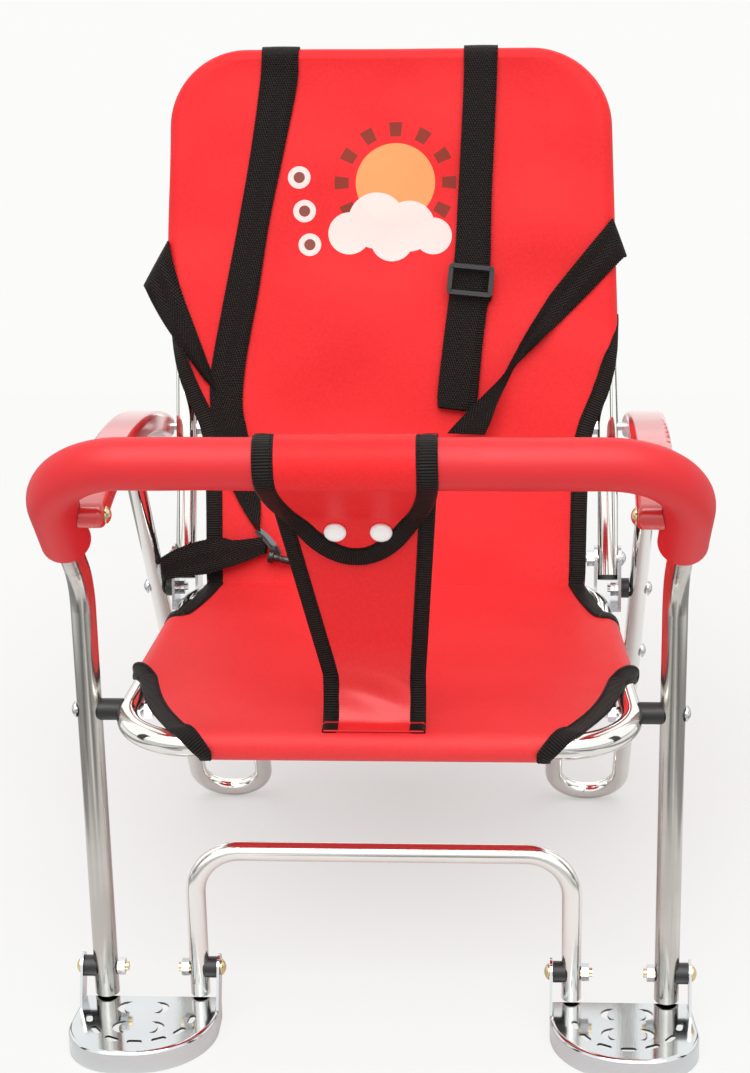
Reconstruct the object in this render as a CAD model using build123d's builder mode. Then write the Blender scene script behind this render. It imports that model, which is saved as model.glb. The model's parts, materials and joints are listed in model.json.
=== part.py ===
"""Child seat for a bicycle's rear carrier, in millimetres.

The seat faces -Y, +Z is up, and it stands on the floor at Z = 0 with the origin under the middle of
its bounding box. Left (-X) and right (+X) are as seen from the front. A ring of chrome tube carries
the sling, a bent guard frame forms the front legs and bar, two rear legs brace the ring and the arm
pads, and the foot plates fold up about a common axis with the bridge bar between them.
"""

import os
from math import acos, atan2, cos, hypot, radians, sin, sqrt

from build123d import *

# Tube and sheet sizes
FRAME_TUBE = 16.0  # guard frame and seat ring
BACK_TUBE = 14.0
REAR_TUBE = 12.7  # rear legs and their cross tube
BRIDGE_TUBE = 12.7
TUBE_WALL = 1.2
BRACKET_SHEET = 2.0
PEDAL_SHEET = 1.6

# Seat ring, in plan from the axis of the front legs
SEAT_Z = 222.0  # height of the ring's axis
RING_FRONT = 50.0  # front tube ahead of the legs
RING_REAR = 205.0  # rear tube behind the legs
RING_FRONT_X = 162.0  # half width at the front corners
RING_REAR_X = 137.5  # half width at the rear corners
RING_BEND = 44.0
SCREW_TURN = 50.0  # bracket screws round the rear bends, in degrees

# Guard frame
LEG_X = 184.0  # half distance between the legs
KNEE_RISE = 88.0  # bend of the legs above the ring
KNEE_BEND = 55.0
BAR_REACH = 85.0  # bar ahead of the legs
BAR_RISE = 195.0  # bar above the ring
BAR_X = 190.0  # half width at the bar's corners
BAR_BEND = 48.0
FOAM_DIA = 31.0
FOAM_RISE = 124.0  # lower ends of the foam above the ring
FOAM_GAP = 0.15

# Back frame
HINGE_BACK = 199.0  # feet of the back frame behind the legs
FOOT_RISE = 13.0  # feet above the ring
BACK_X = 147.5
BACK_LEAN = 25.0
BACK_LEN = 364.0
BACK_BEND = 47.0
HINGE_UP = 12.0  # hinge bolt above the foot, along the tube
PLUG_RIM = 3.0
PLUG_DEPTH = 9.0
BASE_AHEAD = 16.0  # bracket's base ahead of the hinge bolt

# Rear legs
STRUT_X = 169.0  # at the ring's height
STRUT_BACK = 208.0
STRUT_SLOPE = 0.54  # backward run per unit of drop
STRUT_FLARE = 0.035  # outward run per unit of rise
STRUT_TOP = 146.0  # above the ring
LOOP_WIDTH = 50.0  # between the limbs of a floor loop
LOOP_BEND = 24.5
CROSS_DROP = 62.0  # cross tube below the ring
CROSS_PLUG = 20.0

# Arm pads
ARM_WIDTH = 25.0
ARM_THICK = 16.0
ARM_UP = 104.0  # rear bolt along the back tube
ARM_WASHER = 3.0  # gap between back tube and pad
ARM_MID_BACK = 100.0
ARM_MID_RISE = 149.0
ARM_NOSE_RISE = 150.0  # front screw above the ring
ARM_EDGE = 4.0
ARM_SINK = 5.0  # depth of the counterbore for the rear bolt's head

# Foot plates and bridge bar
PEDAL_AXIS_Z = 36.0
PLATE_Z = 15.0  # top of a foot plate
PLATE_REAR = 3.0  # rear edge ahead of the axis
PLATE_FRONT = 73.0  # front edge ahead of the axis
PLATE_FLARE = 8.0  # outer front corner beyond the outer ear
PLATE_OUTER_BEND = 34.0
PLATE_INNER_BEND = 52.0
PLATE_ROUND = 3.0
EAR_R = 9.0
EAR_FOOT = 20.0  # front end of an ear's foot ahead of the axis
GRIP_AHEAD = 25.0  # middle of the grip holes ahead of the axis
GRIP_R = 34.0
GRIP_COUNT = 7
GRIP_START = 190.0  # first slot, in degrees
GRIP_SWEEP = 160.0
GRIP_SLOT = 10.0
GRIP_SLOT_WIDTH = 4.2
CRESCENT_R = 7.0
CRESCENT_SHIFT = 4.5
CRESCENT_APART = 20.0
CRESCENT_ROW = 24.0
TUBE_END_GAP = 2.0  # tube ends above the plates
BUSH_GAP = 6.0  # ear to tube surface
BRIDGE_X = 122.0
BRIDGE_TOP = 122.0  # height of the bridge bar's axis
BRIDGE_BEND = 30.0

# Fasteners
BOLT_DIA = 6.0
BOLT_HEAD = 10.5
BOLT_DOME = 3.4
BOLT_TAIL = 2.2  # bolt beyond its nut
NUT_FLATS = 10.0
NUT_HEIGHT = 5.0
SCREW_DIA = 5.0
SCREW_LENGTH = 14.0
BUSH_DIA = 14.0
BUSH_WRAP = 2.6  # how far a bush reaches round a tube
DRILL_GAP = 0.2  # radial, fixed bolts in their holes
PIVOT_GAP = 0.06  # radial, turning pivots
MOVE_GAP = 0.3  # between faces that move past each other
SEAT_GAP = 0.05  # between pieces that are clamped together

# Sling, binding and webbing
SHEET = 1.5
POCKET_GAP = 0.2
HEM = 24.0  # flat hem inward of a pocket's tube
SEAT_FRONT_X = 103.0  # half width of the front pocket
SEAT_SIDE_FRONT = 34.0  # front ends of the side pockets behind the legs
SEAT_SIDE_REAR = 140.0
SEAT_REAR = 190.0
SEAT_REAR_X = 130.0
NOTCH_DEPTH = 4.0  # hollow of the rear corners' edges
COVER_EDGE_T = 175.0  # outer ends of the back pocket along the tube
COVER_MID_X = 147.0
COVER_MID_T = 124.0
COVER_NECK_X = 134.0
COVER_NECK_T = 92.0
COVER_FOOT_X = 131.0
COVER_REAR_T = 112.0  # lower edge of the rear sheet
BINDING = 10.0
BINDING_T = 0.5
WEB = 25.0
WEB_T = 1.6
LAY_GAP = 0.3  # soft pieces that lie on each other
WEB_TAIL = 40.0  # shoulder straps down the rear of the back

# Webbing routes over the back, as shares of BACK_X and BACK_LEN
LEFT_SHOULDER = (
    (-0.57, 1.0),
    (-0.57, 0.93),
    (-0.624, 0.82),
    (-0.725, 0.626),
    (-0.793, 0.47),
    (-0.786, 0.275),
    (-0.65, 0.1),
)
RIGHT_SHOULDER = ((0.386, 1.0), (0.386, 0.93), (0.373, 0.82), (0.353, 0.582), (0.281, 0.317))
LEFT_SIDE = ((-1.07, 0.618), (-1.12, 0.558), (-1.01, 0.472), (-0.888, 0.393))
RIGHT_SIDE = ((1.03, 0.648), (0.868, 0.569), (0.69, 0.492), (0.556, 0.407), (0.353, 0.283))
SLIDER_PLACE = (0.348, 0.565)
SLIDER_WIDTH = 33.0
SLIDER_HEIGHT = 26.0
SLIDER_BAR = 4.0
SLIDER_T = 2.5
SLIDER_ROUND = 4.0

# Waist strap and its buckle
BUCKLE_X = -84.0
BUCKLE_RISE = 10.0  # middle above the foot of the back
BUCKLE_WIDTH = 24.0
BUCKLE_HEIGHT = 26.0
BUCKLE_T = 6.0
BUCKLE_SLOT = 5.0
WAIST_LEVEL = 12.5  # in front of the back frame
WAIST_LOOP_RISE = 10.0  # sleeve on the strut above the ring
WAIST_RISE = (3.0, 8.0, 14.0)

# Crotch strap and flap
CROTCH_T = 2.0
CROTCH_FOOT = 40.0  # stitched end ahead of the legs
CROTCH_FOOT_X = (-31.0, 30.5)
CROTCH_BAR_X = (-63.0, 41.5)
FLAP_END_RISE = 121.0  # rounded end of the flap above the ring
FLAP_END_R = 42.0
SNAP_DIA = 12.0
SNAP_T = 2.5
SNAP_RISE = 145.0
SNAP_X = (-20.0, 7.5)

# Places worked out from the sizes
LEAN_SIN = sin(radians(BACK_LEAN))
LEAN_COS = cos(radians(BACK_LEAN))
POCKET_IN = BACK_TUBE / 2 + POCKET_GAP
POCKET_OUT = POCKET_IN + SHEET
RING_POCKET_IN = FRAME_TUBE / 2 + POCKET_GAP
RING_POCKET_OUT = RING_POCKET_IN + SHEET
TAPE_IN = POCKET_OUT + SEAT_GAP
WEB_IN = TAPE_IN + BINDING_T + LAY_GAP
WEB_OUT = WEB_IN + WEB_T
FRONT_REACH = BAR_REACH + FOAM_DIA / 2 + LAY_GAP + CROTCH_T
REAR_REACH = HINGE_BACK + BACK_LEN * LEAN_SIN + WEB_OUT
LEG_Y = (FRONT_REACH - REAR_REACH) / 2
BAR_Y = LEG_Y - BAR_REACH
BAR_Z = SEAT_Z + BAR_RISE
KNEE_Z = SEAT_Z + KNEE_RISE
RING_FRONT_Y = LEG_Y - RING_FRONT
RING_REAR_Y = LEG_Y + RING_REAR
HINGE_Y = LEG_Y + HINGE_BACK
FOOT_Z = SEAT_Z + FOOT_RISE
TUBE_END_Z = PLATE_Z + TUBE_END_GAP
OUTER_EAR_X = LEG_X + FRAME_TUBE / 2 + BUSH_GAP
INNER_EAR_X = BRIDGE_X - BRIDGE_TUBE / 2 - BUSH_GAP
ARM_IN_X = BACK_X + BACK_TUBE / 2 + ARM_WASHER
ARM_X = ARM_IN_X + ARM_WIDTH / 2
EAR_IN_X = BACK_X - BACK_TUBE / 2 - MOVE_GAP - BRACKET_SHEET
EAR_OUT_X = BACK_X + BACK_TUBE / 2 + MOVE_GAP
HOLE_DIA = BOLT_DIA + 2 * DRILL_GAP
STRUT_GAP = SEAT_GAP + STRUT_FLARE * REAR_TUBE / 2  # clears the strut's slant
SIDES = (-1, 1)
BACK = Plane(origin=(0, HINGE_Y, FOOT_Z), x_dir=(1, 0, 0), z_dir=(0, -LEAN_COS, LEAN_SIN))


def ring_half(y):
    """Half width of the ring's side tube at a place along Y."""
    run = (y - RING_FRONT_Y) / (RING_REAR_Y - RING_FRONT_Y)
    return RING_FRONT_X + run * (RING_REAR_X - RING_FRONT_X)


def back_point(x, along, out=0.0):
    """Point on the back: across, up along the tubes, and forward of them."""
    return BACK.from_local_coords(Vector(x, along, out))


def strut_point(side, z):
    """Axis of a rear leg's strut at a height."""
    drop = SEAT_Z - z
    return Vector(side * (STRUT_X - STRUT_FLARE * drop), LEG_Y + STRUT_BACK + STRUT_SLOPE * drop, z)


def guard_point(side, rise):
    """Axis of the guard's sloping tube at a rise above the ring."""
    run = (rise - KNEE_RISE) / (BAR_RISE - KNEE_RISE)
    return Vector(side * (LEG_X + run * (BAR_X - LEG_X)), LEG_Y - run * BAR_REACH, SEAT_Z + rise)


def sweep_round(path, outer, inner=0.0, mode=Mode.ADD):
    """Sweep a round tube or bar along a path."""
    with BuildSketch(Plane(origin=path @ 0, z_dir=path % 0)) as section:
        Circle(outer / 2)
        if inner:
            Circle(inner / 2, mode=Mode.SUBTRACT)
    sweep(section.sketch, path=path, mode=mode)


def drill(centre, axis, diameter, depth):
    """Cut a round hole, depth long, about a centre."""
    with Locations(Plane(origin=centre, z_dir=axis)):
        Cylinder(diameter / 2, depth, mode=Mode.SUBTRACT)


def domed_bolt(seat, length, diameter=BOLT_DIA):
    """Bolt along the seat plane's Z, with its domed head behind the plane."""
    head = BOLT_HEAD / 2 * diameter / BOLT_DIA
    dome = BOLT_DOME * diameter / BOLT_DIA
    skirt = dome / 4
    cap = dome - skirt
    ball = (head**2 + cap**2) / (2 * cap)
    shoulder = dome - ball + sqrt(ball**2 - (head / 2) ** 2)
    with BuildSketch(Plane(origin=seat.origin, x_dir=seat.x_dir, z_dir=-seat.y_dir)) as half:
        with BuildLine():
            Polyline(
                (0, -dome), (0, length), (diameter / 2, length), (diameter / 2, 0), (head, 0), (head, -skirt)
            )
            ThreePointArc((head, -skirt), (head / 2, -shoulder), (0, -dome))
        make_face()
    revolve(half.sketch, axis=Axis(seat.origin, seat.z_dir))


def hex_nut(seat):
    """Nut that stands on the seat plane."""
    with BuildSketch(seat) as hexagon:
        RegularPolygon(NUT_FLATS / 2, 6, major_radius=False)
        Circle(BOLT_DIA / 2 + SEAT_GAP, mode=Mode.SUBTRACT)
    extrude(hexagon.sketch, amount=NUT_HEIGHT)


def bush(start, axis, length):
    """Round bush with a bolt hole, before its ends are shaped."""
    with BuildSketch(Plane(origin=start, z_dir=axis)) as ring:
        Circle(BUSH_DIA / 2)
        Circle(HOLE_DIA / 2, mode=Mode.SUBTRACT)
    extrude(ring.sketch, amount=length)


def across(x, y, z, side):
    """Seat plane at a point, whose Z runs across the seat, outward for side 1."""
    return Plane(origin=(x, y, z), x_dir=(0, 1, 0), z_dir=(side, 0, 0))


# Tube paths
with BuildLine() as guard_path:
    FilletPolyline(
        (-LEG_X, LEG_Y, TUBE_END_Z),
        (-LEG_X, LEG_Y, KNEE_Z),
        (-BAR_X, BAR_Y, BAR_Z),
        (BAR_X, BAR_Y, BAR_Z),
        (LEG_X, LEG_Y, KNEE_Z),
        (LEG_X, LEG_Y, TUBE_END_Z),
        radius=(KNEE_BEND, BAR_BEND, BAR_BEND, KNEE_BEND),
    )

with BuildLine() as foam_path:
    FilletPolyline(
        guard_point(-1, FOAM_RISE),
        (-BAR_X, BAR_Y, BAR_Z),
        (BAR_X, BAR_Y, BAR_Z),
        guard_point(1, FOAM_RISE),
        radius=BAR_BEND,
    )

with BuildLine(Plane.XY.offset(SEAT_Z)) as ring_path:
    FilletPolyline(
        (-RING_REAR_X, RING_REAR_Y),
        (-RING_FRONT_X, RING_FRONT_Y),
        (RING_FRONT_X, RING_FRONT_Y),
        (RING_REAR_X, RING_REAR_Y),
        radius=RING_BEND,
        close=True,
    )

with BuildLine(BACK) as back_path:
    FilletPolyline(
        (-BACK_X, 0), (-BACK_X, BACK_LEN), (BACK_X, BACK_LEN), (BACK_X, 0), radius=BACK_BEND
    )

with BuildLine() as bridge_path:
    FilletPolyline(
        (-BRIDGE_X, LEG_Y, TUBE_END_Z),
        (-BRIDGE_X, LEG_Y, BRIDGE_TOP),
        (BRIDGE_X, LEG_Y, BRIDGE_TOP),
        (BRIDGE_X, LEG_Y, TUBE_END_Z),
        radius=BRIDGE_BEND,
    )

# Seat ring
ring_slope = (RING_FRONT_X - RING_REAR_X) / (RING_FRONT + RING_REAR)
ring_nut_x = ring_half(LEG_Y) - FRAME_TUBE / 2 - NUT_FLATS * ring_slope * 2 / 3
corner_x = ring_half(RING_REAR_Y - RING_BEND) - RING_BEND
bracket_screw_x = corner_x + RING_BEND * cos(radians(SCREW_TURN))
bracket_screw_y = RING_REAR_Y - RING_BEND + RING_BEND * sin(radians(SCREW_TURN))

with BuildPart() as seat_ring:
    sweep_round(ring_path.line, FRAME_TUBE, FRAME_TUBE - 2 * TUBE_WALL)
    drill((0, LEG_Y, SEAT_Z), (1, 0, 0), HOLE_DIA, 2 * RING_FRONT_X + FRAME_TUBE)
    for side in SIDES:
        drill(
            (side * bracket_screw_x, bracket_screw_y, SEAT_Z - FRAME_TUBE / 2),
            (0, 0, 1),
            SCREW_DIA + 2 * DRILL_GAP,
            FRAME_TUBE,
        )

# Guard frame and its foam sleeve
nose = guard_point(1, ARM_NOSE_RISE)
nose_depth = BAR_X - ARM_IN_X

with BuildPart() as guard_frame:
    sweep_round(guard_path.line, FRAME_TUBE, FRAME_TUBE - 2 * TUBE_WALL)
    drill((0, LEG_Y, SEAT_Z), (1, 0, 0), HOLE_DIA, 2 * LEG_X + 2 * FRAME_TUBE)
    drill((0, LEG_Y, PEDAL_AXIS_Z), (1, 0, 0), HOLE_DIA, 2 * LEG_X + 2 * FRAME_TUBE)
    for side in SIDES:
        drill((side * ARM_IN_X, nose.Y, nose.Z), (1, 0, 0), HOLE_DIA, 2 * nose_depth)

with BuildPart() as guard_foam:
    sweep_round(foam_path.line, FOAM_DIA, FRAME_TUBE + 2 * FOAM_GAP)
    for side in SIDES:
        drill((side * ARM_IN_X, nose.Y, nose.Z), (1, 0, 0), HOLE_DIA, 2 * nose_depth)

# Back frame with its end plugs
hinge = back_point(BACK_X, HINGE_UP)
arm_bolt = back_point(BACK_X, ARM_UP)
hinge_span = 2 * BACK_X + 2 * BACK_TUBE

with BuildPart() as back_frame:
    sweep_round(back_path.line, BACK_TUBE, BACK_TUBE - 2 * TUBE_WALL)
    drill((0, hinge.Y, hinge.Z), (1, 0, 0), HOLE_DIA, hinge_span)
    drill((0, arm_bolt.Y, arm_bolt.Z), (1, 0, 0), HOLE_DIA, hinge_span)

with BuildPart() as back_plugs:
    for side in SIDES:
        foot = Plane(origin=back_point(side * BACK_X, 0), z_dir=-BACK.y_dir)
        with BuildSketch(foot.offset(SEAT_GAP)):
            Circle(BACK_TUBE / 2 - SEAT_GAP)
        extrude(amount=PLUG_RIM)
        with BuildSketch(foot.offset(SEAT_GAP)):
            Circle(BACK_TUBE / 2 - TUBE_WALL - SEAT_GAP)
        extrude(amount=-PLUG_DEPTH)
    drill((0, hinge.Y, hinge.Z), (1, 0, 0), HOLE_DIA, hinge_span)

# Hinge brackets, pressed from sheet: a base under the ring's corner and two ears round the foot
strut_at_ring = strut_point(1, SEAT_Z)
BASE_Z = SEAT_Z - FRAME_TUBE / 2 - SEAT_GAP
BASE_IN_X = bracket_screw_x - FRAME_TUBE / 2
BASE_FRONT_Y = hinge.Y - BASE_AHEAD
BASE_REAR_Y = strut_at_ring.Y + EAR_R


with BuildPart() as right_hinge_bracket:
    with BuildSketch(Plane.XY.offset(BASE_Z - BRACKET_SHEET)):
        with BuildLine():
            Polyline(
                (BASE_IN_X, BASE_FRONT_Y),
                (EAR_OUT_X + BRACKET_SHEET, BASE_FRONT_Y),
                (EAR_OUT_X + BRACKET_SHEET, BASE_REAR_Y),
                (EAR_IN_X, BASE_REAR_Y),
                (BASE_IN_X, bracket_screw_y + FRAME_TUBE / 2),
                close=True,
            )
        make_face()
    extrude(amount=BRACKET_SHEET)
    for ear_x in (EAR_IN_X, EAR_OUT_X):
        with BuildSketch(Plane(origin=(ear_x, 0, 0), x_dir=(0, 1, 0), z_dir=(1, 0, 0))):
            with BuildLine():
                Polyline(
                    (BASE_FRONT_Y, BASE_Z),
                    (BASE_FRONT_Y, BASE_Z - BRACKET_SHEET),
                    (BASE_REAR_Y, BASE_Z - BRACKET_SHEET),
                    (BASE_REAR_Y, BASE_Z),
                    close=True,
                )
            make_face()
            with Locations((hinge.Y, hinge.Z)):
                Circle(EAR_R)
            make_hull()
        extrude(amount=BRACKET_SHEET)
    sweep_round(ring_path.line, FRAME_TUBE + 2 * SEAT_GAP, mode=Mode.SUBTRACT)
    drill((BACK_X, hinge.Y, hinge.Z), (1, 0, 0), HOLE_DIA, 2 * BACK_TUBE)
    drill((EAR_OUT_X, strut_at_ring.Y, SEAT_Z), (1, 0, 0), HOLE_DIA, 2 * BACK_TUBE / 3)
    drill((bracket_screw_x, bracket_screw_y, BASE_Z), (0, 0, 1), SCREW_DIA + 2 * DRILL_GAP, FRAME_TUBE)

with BuildPart() as left_hinge_bracket:
    mirror(right_hinge_bracket.part, about=Plane.YZ)

with BuildPart() as hinge_bolts:
    for side in SIDES:
        seat_x = EAR_OUT_X + BRACKET_SHEET + SEAT_GAP
        grip = seat_x - EAR_IN_X + NUT_HEIGHT + BOLT_TAIL
        domed_bolt(across(side * seat_x, hinge.Y, hinge.Z, -side), grip)

with BuildPart() as hinge_nuts:
    for side in SIDES:
        hex_nut(across(side * (EAR_IN_X - SEAT_GAP), hinge.Y, hinge.Z, -side))

with BuildPart() as bracket_screws:
    for side in SIDES:
        under = Plane(origin=(side * bracket_screw_x, bracket_screw_y, BASE_Z - BRACKET_SHEET - SEAT_GAP))
        domed_bolt(under, SCREW_LENGTH, SCREW_DIA)

# Rear legs: strut, floor loop and inner limb in one bent tube
cross_z = SEAT_Z - CROSS_DROP
floor_z = REAR_TUBE / 2


def rear_leg_points(side):
    """Corners of a rear leg's axis, from the arm pad down round the loop to the cross tube."""
    low = strut_point(side, floor_z)
    inner_x = low.X - side * LOOP_WIDTH
    cross = strut_point(side, cross_z)
    return (
        strut_point(side, SEAT_Z + STRUT_TOP),
        low,
        Vector(inner_x, low.Y, floor_z),
        Vector(inner_x, cross.Y, cross_z),
    )


cross = strut_point(1, cross_z)
with BuildPart() as rear_cross_tube:
    half = cross.X - REAR_TUBE / 2 - STRUT_GAP
    with BuildSketch(Plane(origin=(-half, cross.Y, cross_z), z_dir=(1, 0, 0))):
        Circle(REAR_TUBE / 2)
        Circle(REAR_TUBE / 2 - TUBE_WALL, mode=Mode.SUBTRACT)
    extrude(amount=2 * half)


def rear_leg(side):
    """Bent tube of one rear leg, drilled for its bolts and coped on the cross tube."""
    with BuildLine() as leg_path:
        FilletPolyline(*rear_leg_points(side), radius=LOOP_BEND)
    with BuildPart() as leg:
        sweep_round(leg_path.line, REAR_TUBE, REAR_TUBE - 2 * TUBE_WALL)
        for centre in (strut_at_ring, cross):
            drill((side * centre.X, centre.Y, centre.Z), (1, 0, 0), HOLE_DIA, 2 * REAR_TUBE)
        inner_x = leg_path.line @ 1
        drill(inner_x, (1, 0, 0), REAR_TUBE + 2 * SEAT_GAP, 2 * REAR_TUBE)
    return leg


left_rear_leg = rear_leg(-1)
right_rear_leg = rear_leg(1)

with BuildPart() as cross_plugs:
    for side in SIDES:
        with BuildSketch(across(side * half, cross.Y, cross_z, -side)):
            Circle(REAR_TUBE / 2 - TUBE_WALL - SEAT_GAP)
            Circle(BOLT_DIA / 2 + SEAT_GAP, mode=Mode.SUBTRACT)
        extrude(amount=CROSS_PLUG)

with BuildPart() as cross_bolts:
    for side in SIDES:
        seat_x = cross.X + REAR_TUBE / 2 + STRUT_GAP
        domed_bolt(across(side * seat_x, cross.Y, cross_z, -side), REAR_TUBE + CROSS_PLUG)

strut_in_x = STRUT_X - REAR_TUBE / 2
ear_face_x = EAR_OUT_X + BRACKET_SHEET
with BuildPart() as strut_spacers:
    for side in SIDES:
        start_x = ear_face_x + SEAT_GAP
        bush((side * start_x, strut_at_ring.Y, SEAT_Z), (side, 0, 0), strut_in_x - ear_face_x)
        with BuildLine() as strut_line:
            Line(strut_point(side, SEAT_Z - BUSH_DIA), strut_point(side, SEAT_Z + BUSH_DIA))
        sweep_round(strut_line.line, REAR_TUBE + 2 * SEAT_GAP, mode=Mode.SUBTRACT)

with BuildPart() as strut_bolts:
    for side in SIDES:
        seat_x = STRUT_X + REAR_TUBE / 2 + STRUT_GAP
        grip = seat_x - EAR_OUT_X + NUT_HEIGHT + BOLT_TAIL
        domed_bolt(across(side * seat_x, strut_at_ring.Y, SEAT_Z, -side), grip)

with BuildPart() as strut_nuts:
    for side in SIDES:
        hex_nut(across(side * (EAR_OUT_X - SEAT_GAP), strut_at_ring.Y, SEAT_Z, -side))

# Arm pads: arched moulding with a seat for the foam and a socket for the strut


def arm_pad(side):
    """One arm pad, from the back tube forward to the guard."""
    with BuildPart() as pad:
        side_view = Plane(origin=(side * ARM_X, 0, 0), x_dir=(0, 1, 0), z_dir=(1, 0, 0))
        with BuildSketch(side_view):
            with BuildLine(mode=Mode.PRIVATE) as arch:
                ThreePointArc(
                    (arm_bolt.Y, arm_bolt.Z),
                    (LEG_Y + ARM_MID_BACK, SEAT_Z + ARM_MID_RISE),
                    (nose.Y, nose.Z),
                )
            SlotArc(arch.edge(), ARM_THICK)
        extrude(amount=ARM_WIDTH / 2, both=True)
        fillet(pad.faces().filter_by(Axis.X).edges(), ARM_EDGE)
        with BuildLine() as guard_line:
            Line(guard_point(side, FOAM_RISE), guard_point(side, BAR_RISE))
        sweep_round(guard_line.line, FOAM_DIA + 2 * LAY_GAP, mode=Mode.SUBTRACT)
        with BuildLine() as strut_line:
            Line(strut_point(side, SEAT_Z), strut_point(side, SEAT_Z + STRUT_TOP + SEAT_GAP))
        sweep_round(strut_line.line, REAR_TUBE + 2 * SEAT_GAP, mode=Mode.SUBTRACT)
        drill((side * ARM_X, arm_bolt.Y, arm_bolt.Z), (1, 0, 0), HOLE_DIA, 2 * ARM_WIDTH)
        drill((side * ARM_X, nose.Y, nose.Z), (1, 0, 0), HOLE_DIA, 2 * ARM_WIDTH)
        outer_face = side * (ARM_IN_X + ARM_WIDTH)
        drill((outer_face, arm_bolt.Y, arm_bolt.Z), (1, 0, 0), BOLT_HEAD + 1, 2 * ARM_SINK)
    return pad


left_arm = arm_pad(-1)
right_arm = arm_pad(1)

with BuildPart() as arm_bolts:
    for side in SIDES:
        seat_x = ARM_IN_X + ARM_WIDTH - ARM_SINK + SEAT_GAP
        grip = seat_x - (BACK_X - BACK_TUBE / 2) + NUT_HEIGHT + BOLT_TAIL
        domed_bolt(across(side * seat_x, arm_bolt.Y, arm_bolt.Z, -side), grip)

with BuildPart() as arm_nuts:
    for side in SIDES:
        hex_nut(across(side * (BACK_X - BACK_TUBE / 2 - SEAT_GAP), arm_bolt.Y, arm_bolt.Z, -side))

with BuildPart() as guard_screws:
    for side in SIDES:
        grip = abs(nose.X) - ARM_IN_X
        domed_bolt(across(side * (ARM_IN_X - SEAT_GAP), nose.Y, nose.Z, side), grip)

# Leg pivots on the ring: saddle bush, bolt and nut
ring_x = ring_half(LEG_Y)
leg_in_x = LEG_X - FRAME_TUBE / 2
with BuildPart() as leg_bushes:
    for side in SIDES:
        start_x = ring_x + FRAME_TUBE / 2 - BUSH_WRAP
        bush((side * start_x, LEG_Y, SEAT_Z), (side, 0, 0), leg_in_x + BUSH_WRAP - start_x)
        with BuildLine() as leg_line:
            Line((side * LEG_X, LEG_Y, SEAT_Z - BUSH_DIA), (side * LEG_X, LEG_Y, SEAT_Z + BUSH_DIA))
        sweep_round(leg_line.line, FRAME_TUBE + 2 * SEAT_GAP, mode=Mode.SUBTRACT)
    sweep_round(ring_path.line, FRAME_TUBE + 2 * SEAT_GAP, mode=Mode.SUBTRACT)

with BuildPart() as leg_bolts:
    for side in SIDES:
        seat_x = LEG_X + FRAME_TUBE / 2 + SEAT_GAP
        grip = seat_x - ring_nut_x + NUT_HEIGHT + BOLT_TAIL
        domed_bolt(across(side * seat_x, LEG_Y, SEAT_Z, -side), grip)

with BuildPart() as leg_nuts:
    for side in SIDES:
        hex_nut(across(side * (ring_nut_x - SEAT_GAP), LEG_Y, SEAT_Z, -side))

# Foot plates, pressed from sheet with a turned-down rim and two ears
plate_out_x = OUTER_EAR_X + PEDAL_SHEET
plate_in_x = INNER_EAR_X - PEDAL_SHEET
plate_rear_y = LEG_Y - PLATE_REAR
plate_front_y = LEG_Y - PLATE_FRONT
grip_x = (plate_in_x + plate_out_x + PLATE_FLARE) / 2
grip_y = LEG_Y - GRIP_AHEAD
row_y = grip_y - GRIP_SLOT_WIDTH

with BuildPart() as right_pedal:
    with BuildSketch(Plane.XY) as plate_outline:
        with BuildLine():
            Polyline(
                (plate_in_x, plate_rear_y),
                (plate_out_x, plate_rear_y),
                (plate_out_x + PLATE_FLARE, plate_front_y),
                (plate_in_x, plate_front_y),
                close=True,
            )
        make_face()
        fillet(plate_outline.vertices().sort_by(Axis.X)[-1], PLATE_OUTER_BEND)
        fillet(plate_outline.vertices().group_by(Axis.Y)[0].sort_by(Axis.X)[0], PLATE_INNER_BEND)
    extrude(amount=PLATE_Z)
    rim = right_pedal.faces().sort_by(Axis.Z)[-1].edges().sort_by(Axis.Y)[:-1]
    fillet(rim, PLATE_ROUND)
    rear_face = right_pedal.faces().filter_by(Axis.Y).sort_by(Axis.Y)[-1]
    floor_face = right_pedal.faces().sort_by(Axis.Z)[0]
    offset(amount=-PEDAL_SHEET, openings=[floor_face, rear_face])
    for ear_x in (plate_in_x, OUTER_EAR_X):
        with BuildSketch(Plane(origin=(ear_x, LEG_Y, 0), x_dir=(0, 1, 0), z_dir=(1, 0, 0))):
            with Locations((0, PEDAL_AXIS_Z)):
                Circle(EAR_R)
            with Locations((-PLATE_REAR, PLATE_Z - PLATE_ROUND)):
                Rectangle(EAR_FOOT - PLATE_REAR, PLATE_ROUND, align=(Align.MAX, Align.MIN))
            make_hull()
        extrude(amount=PEDAL_SHEET)
    plate_mid_x = (plate_in_x + plate_out_x) / 2
    drill((plate_mid_x, LEG_Y, PEDAL_AXIS_Z), (1, 0, 0), BOLT_DIA + 2 * PIVOT_GAP, plate_out_x)
    with BuildSketch(Plane.XY.offset(PLATE_Z)):
        with Locations((grip_x, grip_y)):
            with PolarLocations(GRIP_R, GRIP_COUNT, GRIP_START, GRIP_SWEEP, endpoint=True):
                SlotOverall(GRIP_SLOT, GRIP_SLOT_WIDTH, rotation=90)
    extrude(amount=-2 * PEDAL_SHEET, mode=Mode.SUBTRACT)
    for way in SIDES:
        with BuildSketch(Plane.XY.offset(PLATE_Z)):
            rows = [row_y + CRESCENT_ROW / 2, row_y - CRESCENT_ROW / 2]
            with Locations(*[(grip_x + way * CRESCENT_APART / 2, row) for row in rows]):
                Circle(CRESCENT_R)
            with Locations(*[(grip_x + way * (CRESCENT_APART / 2 - CRESCENT_SHIFT), row) for row in rows]):
                Circle(CRESCENT_R, mode=Mode.SUBTRACT)
        extrude(amount=-2 * PEDAL_SHEET, mode=Mode.SUBTRACT)

with BuildPart() as left_pedal:
    mirror(right_pedal.part, about=Plane.YZ)

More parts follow.
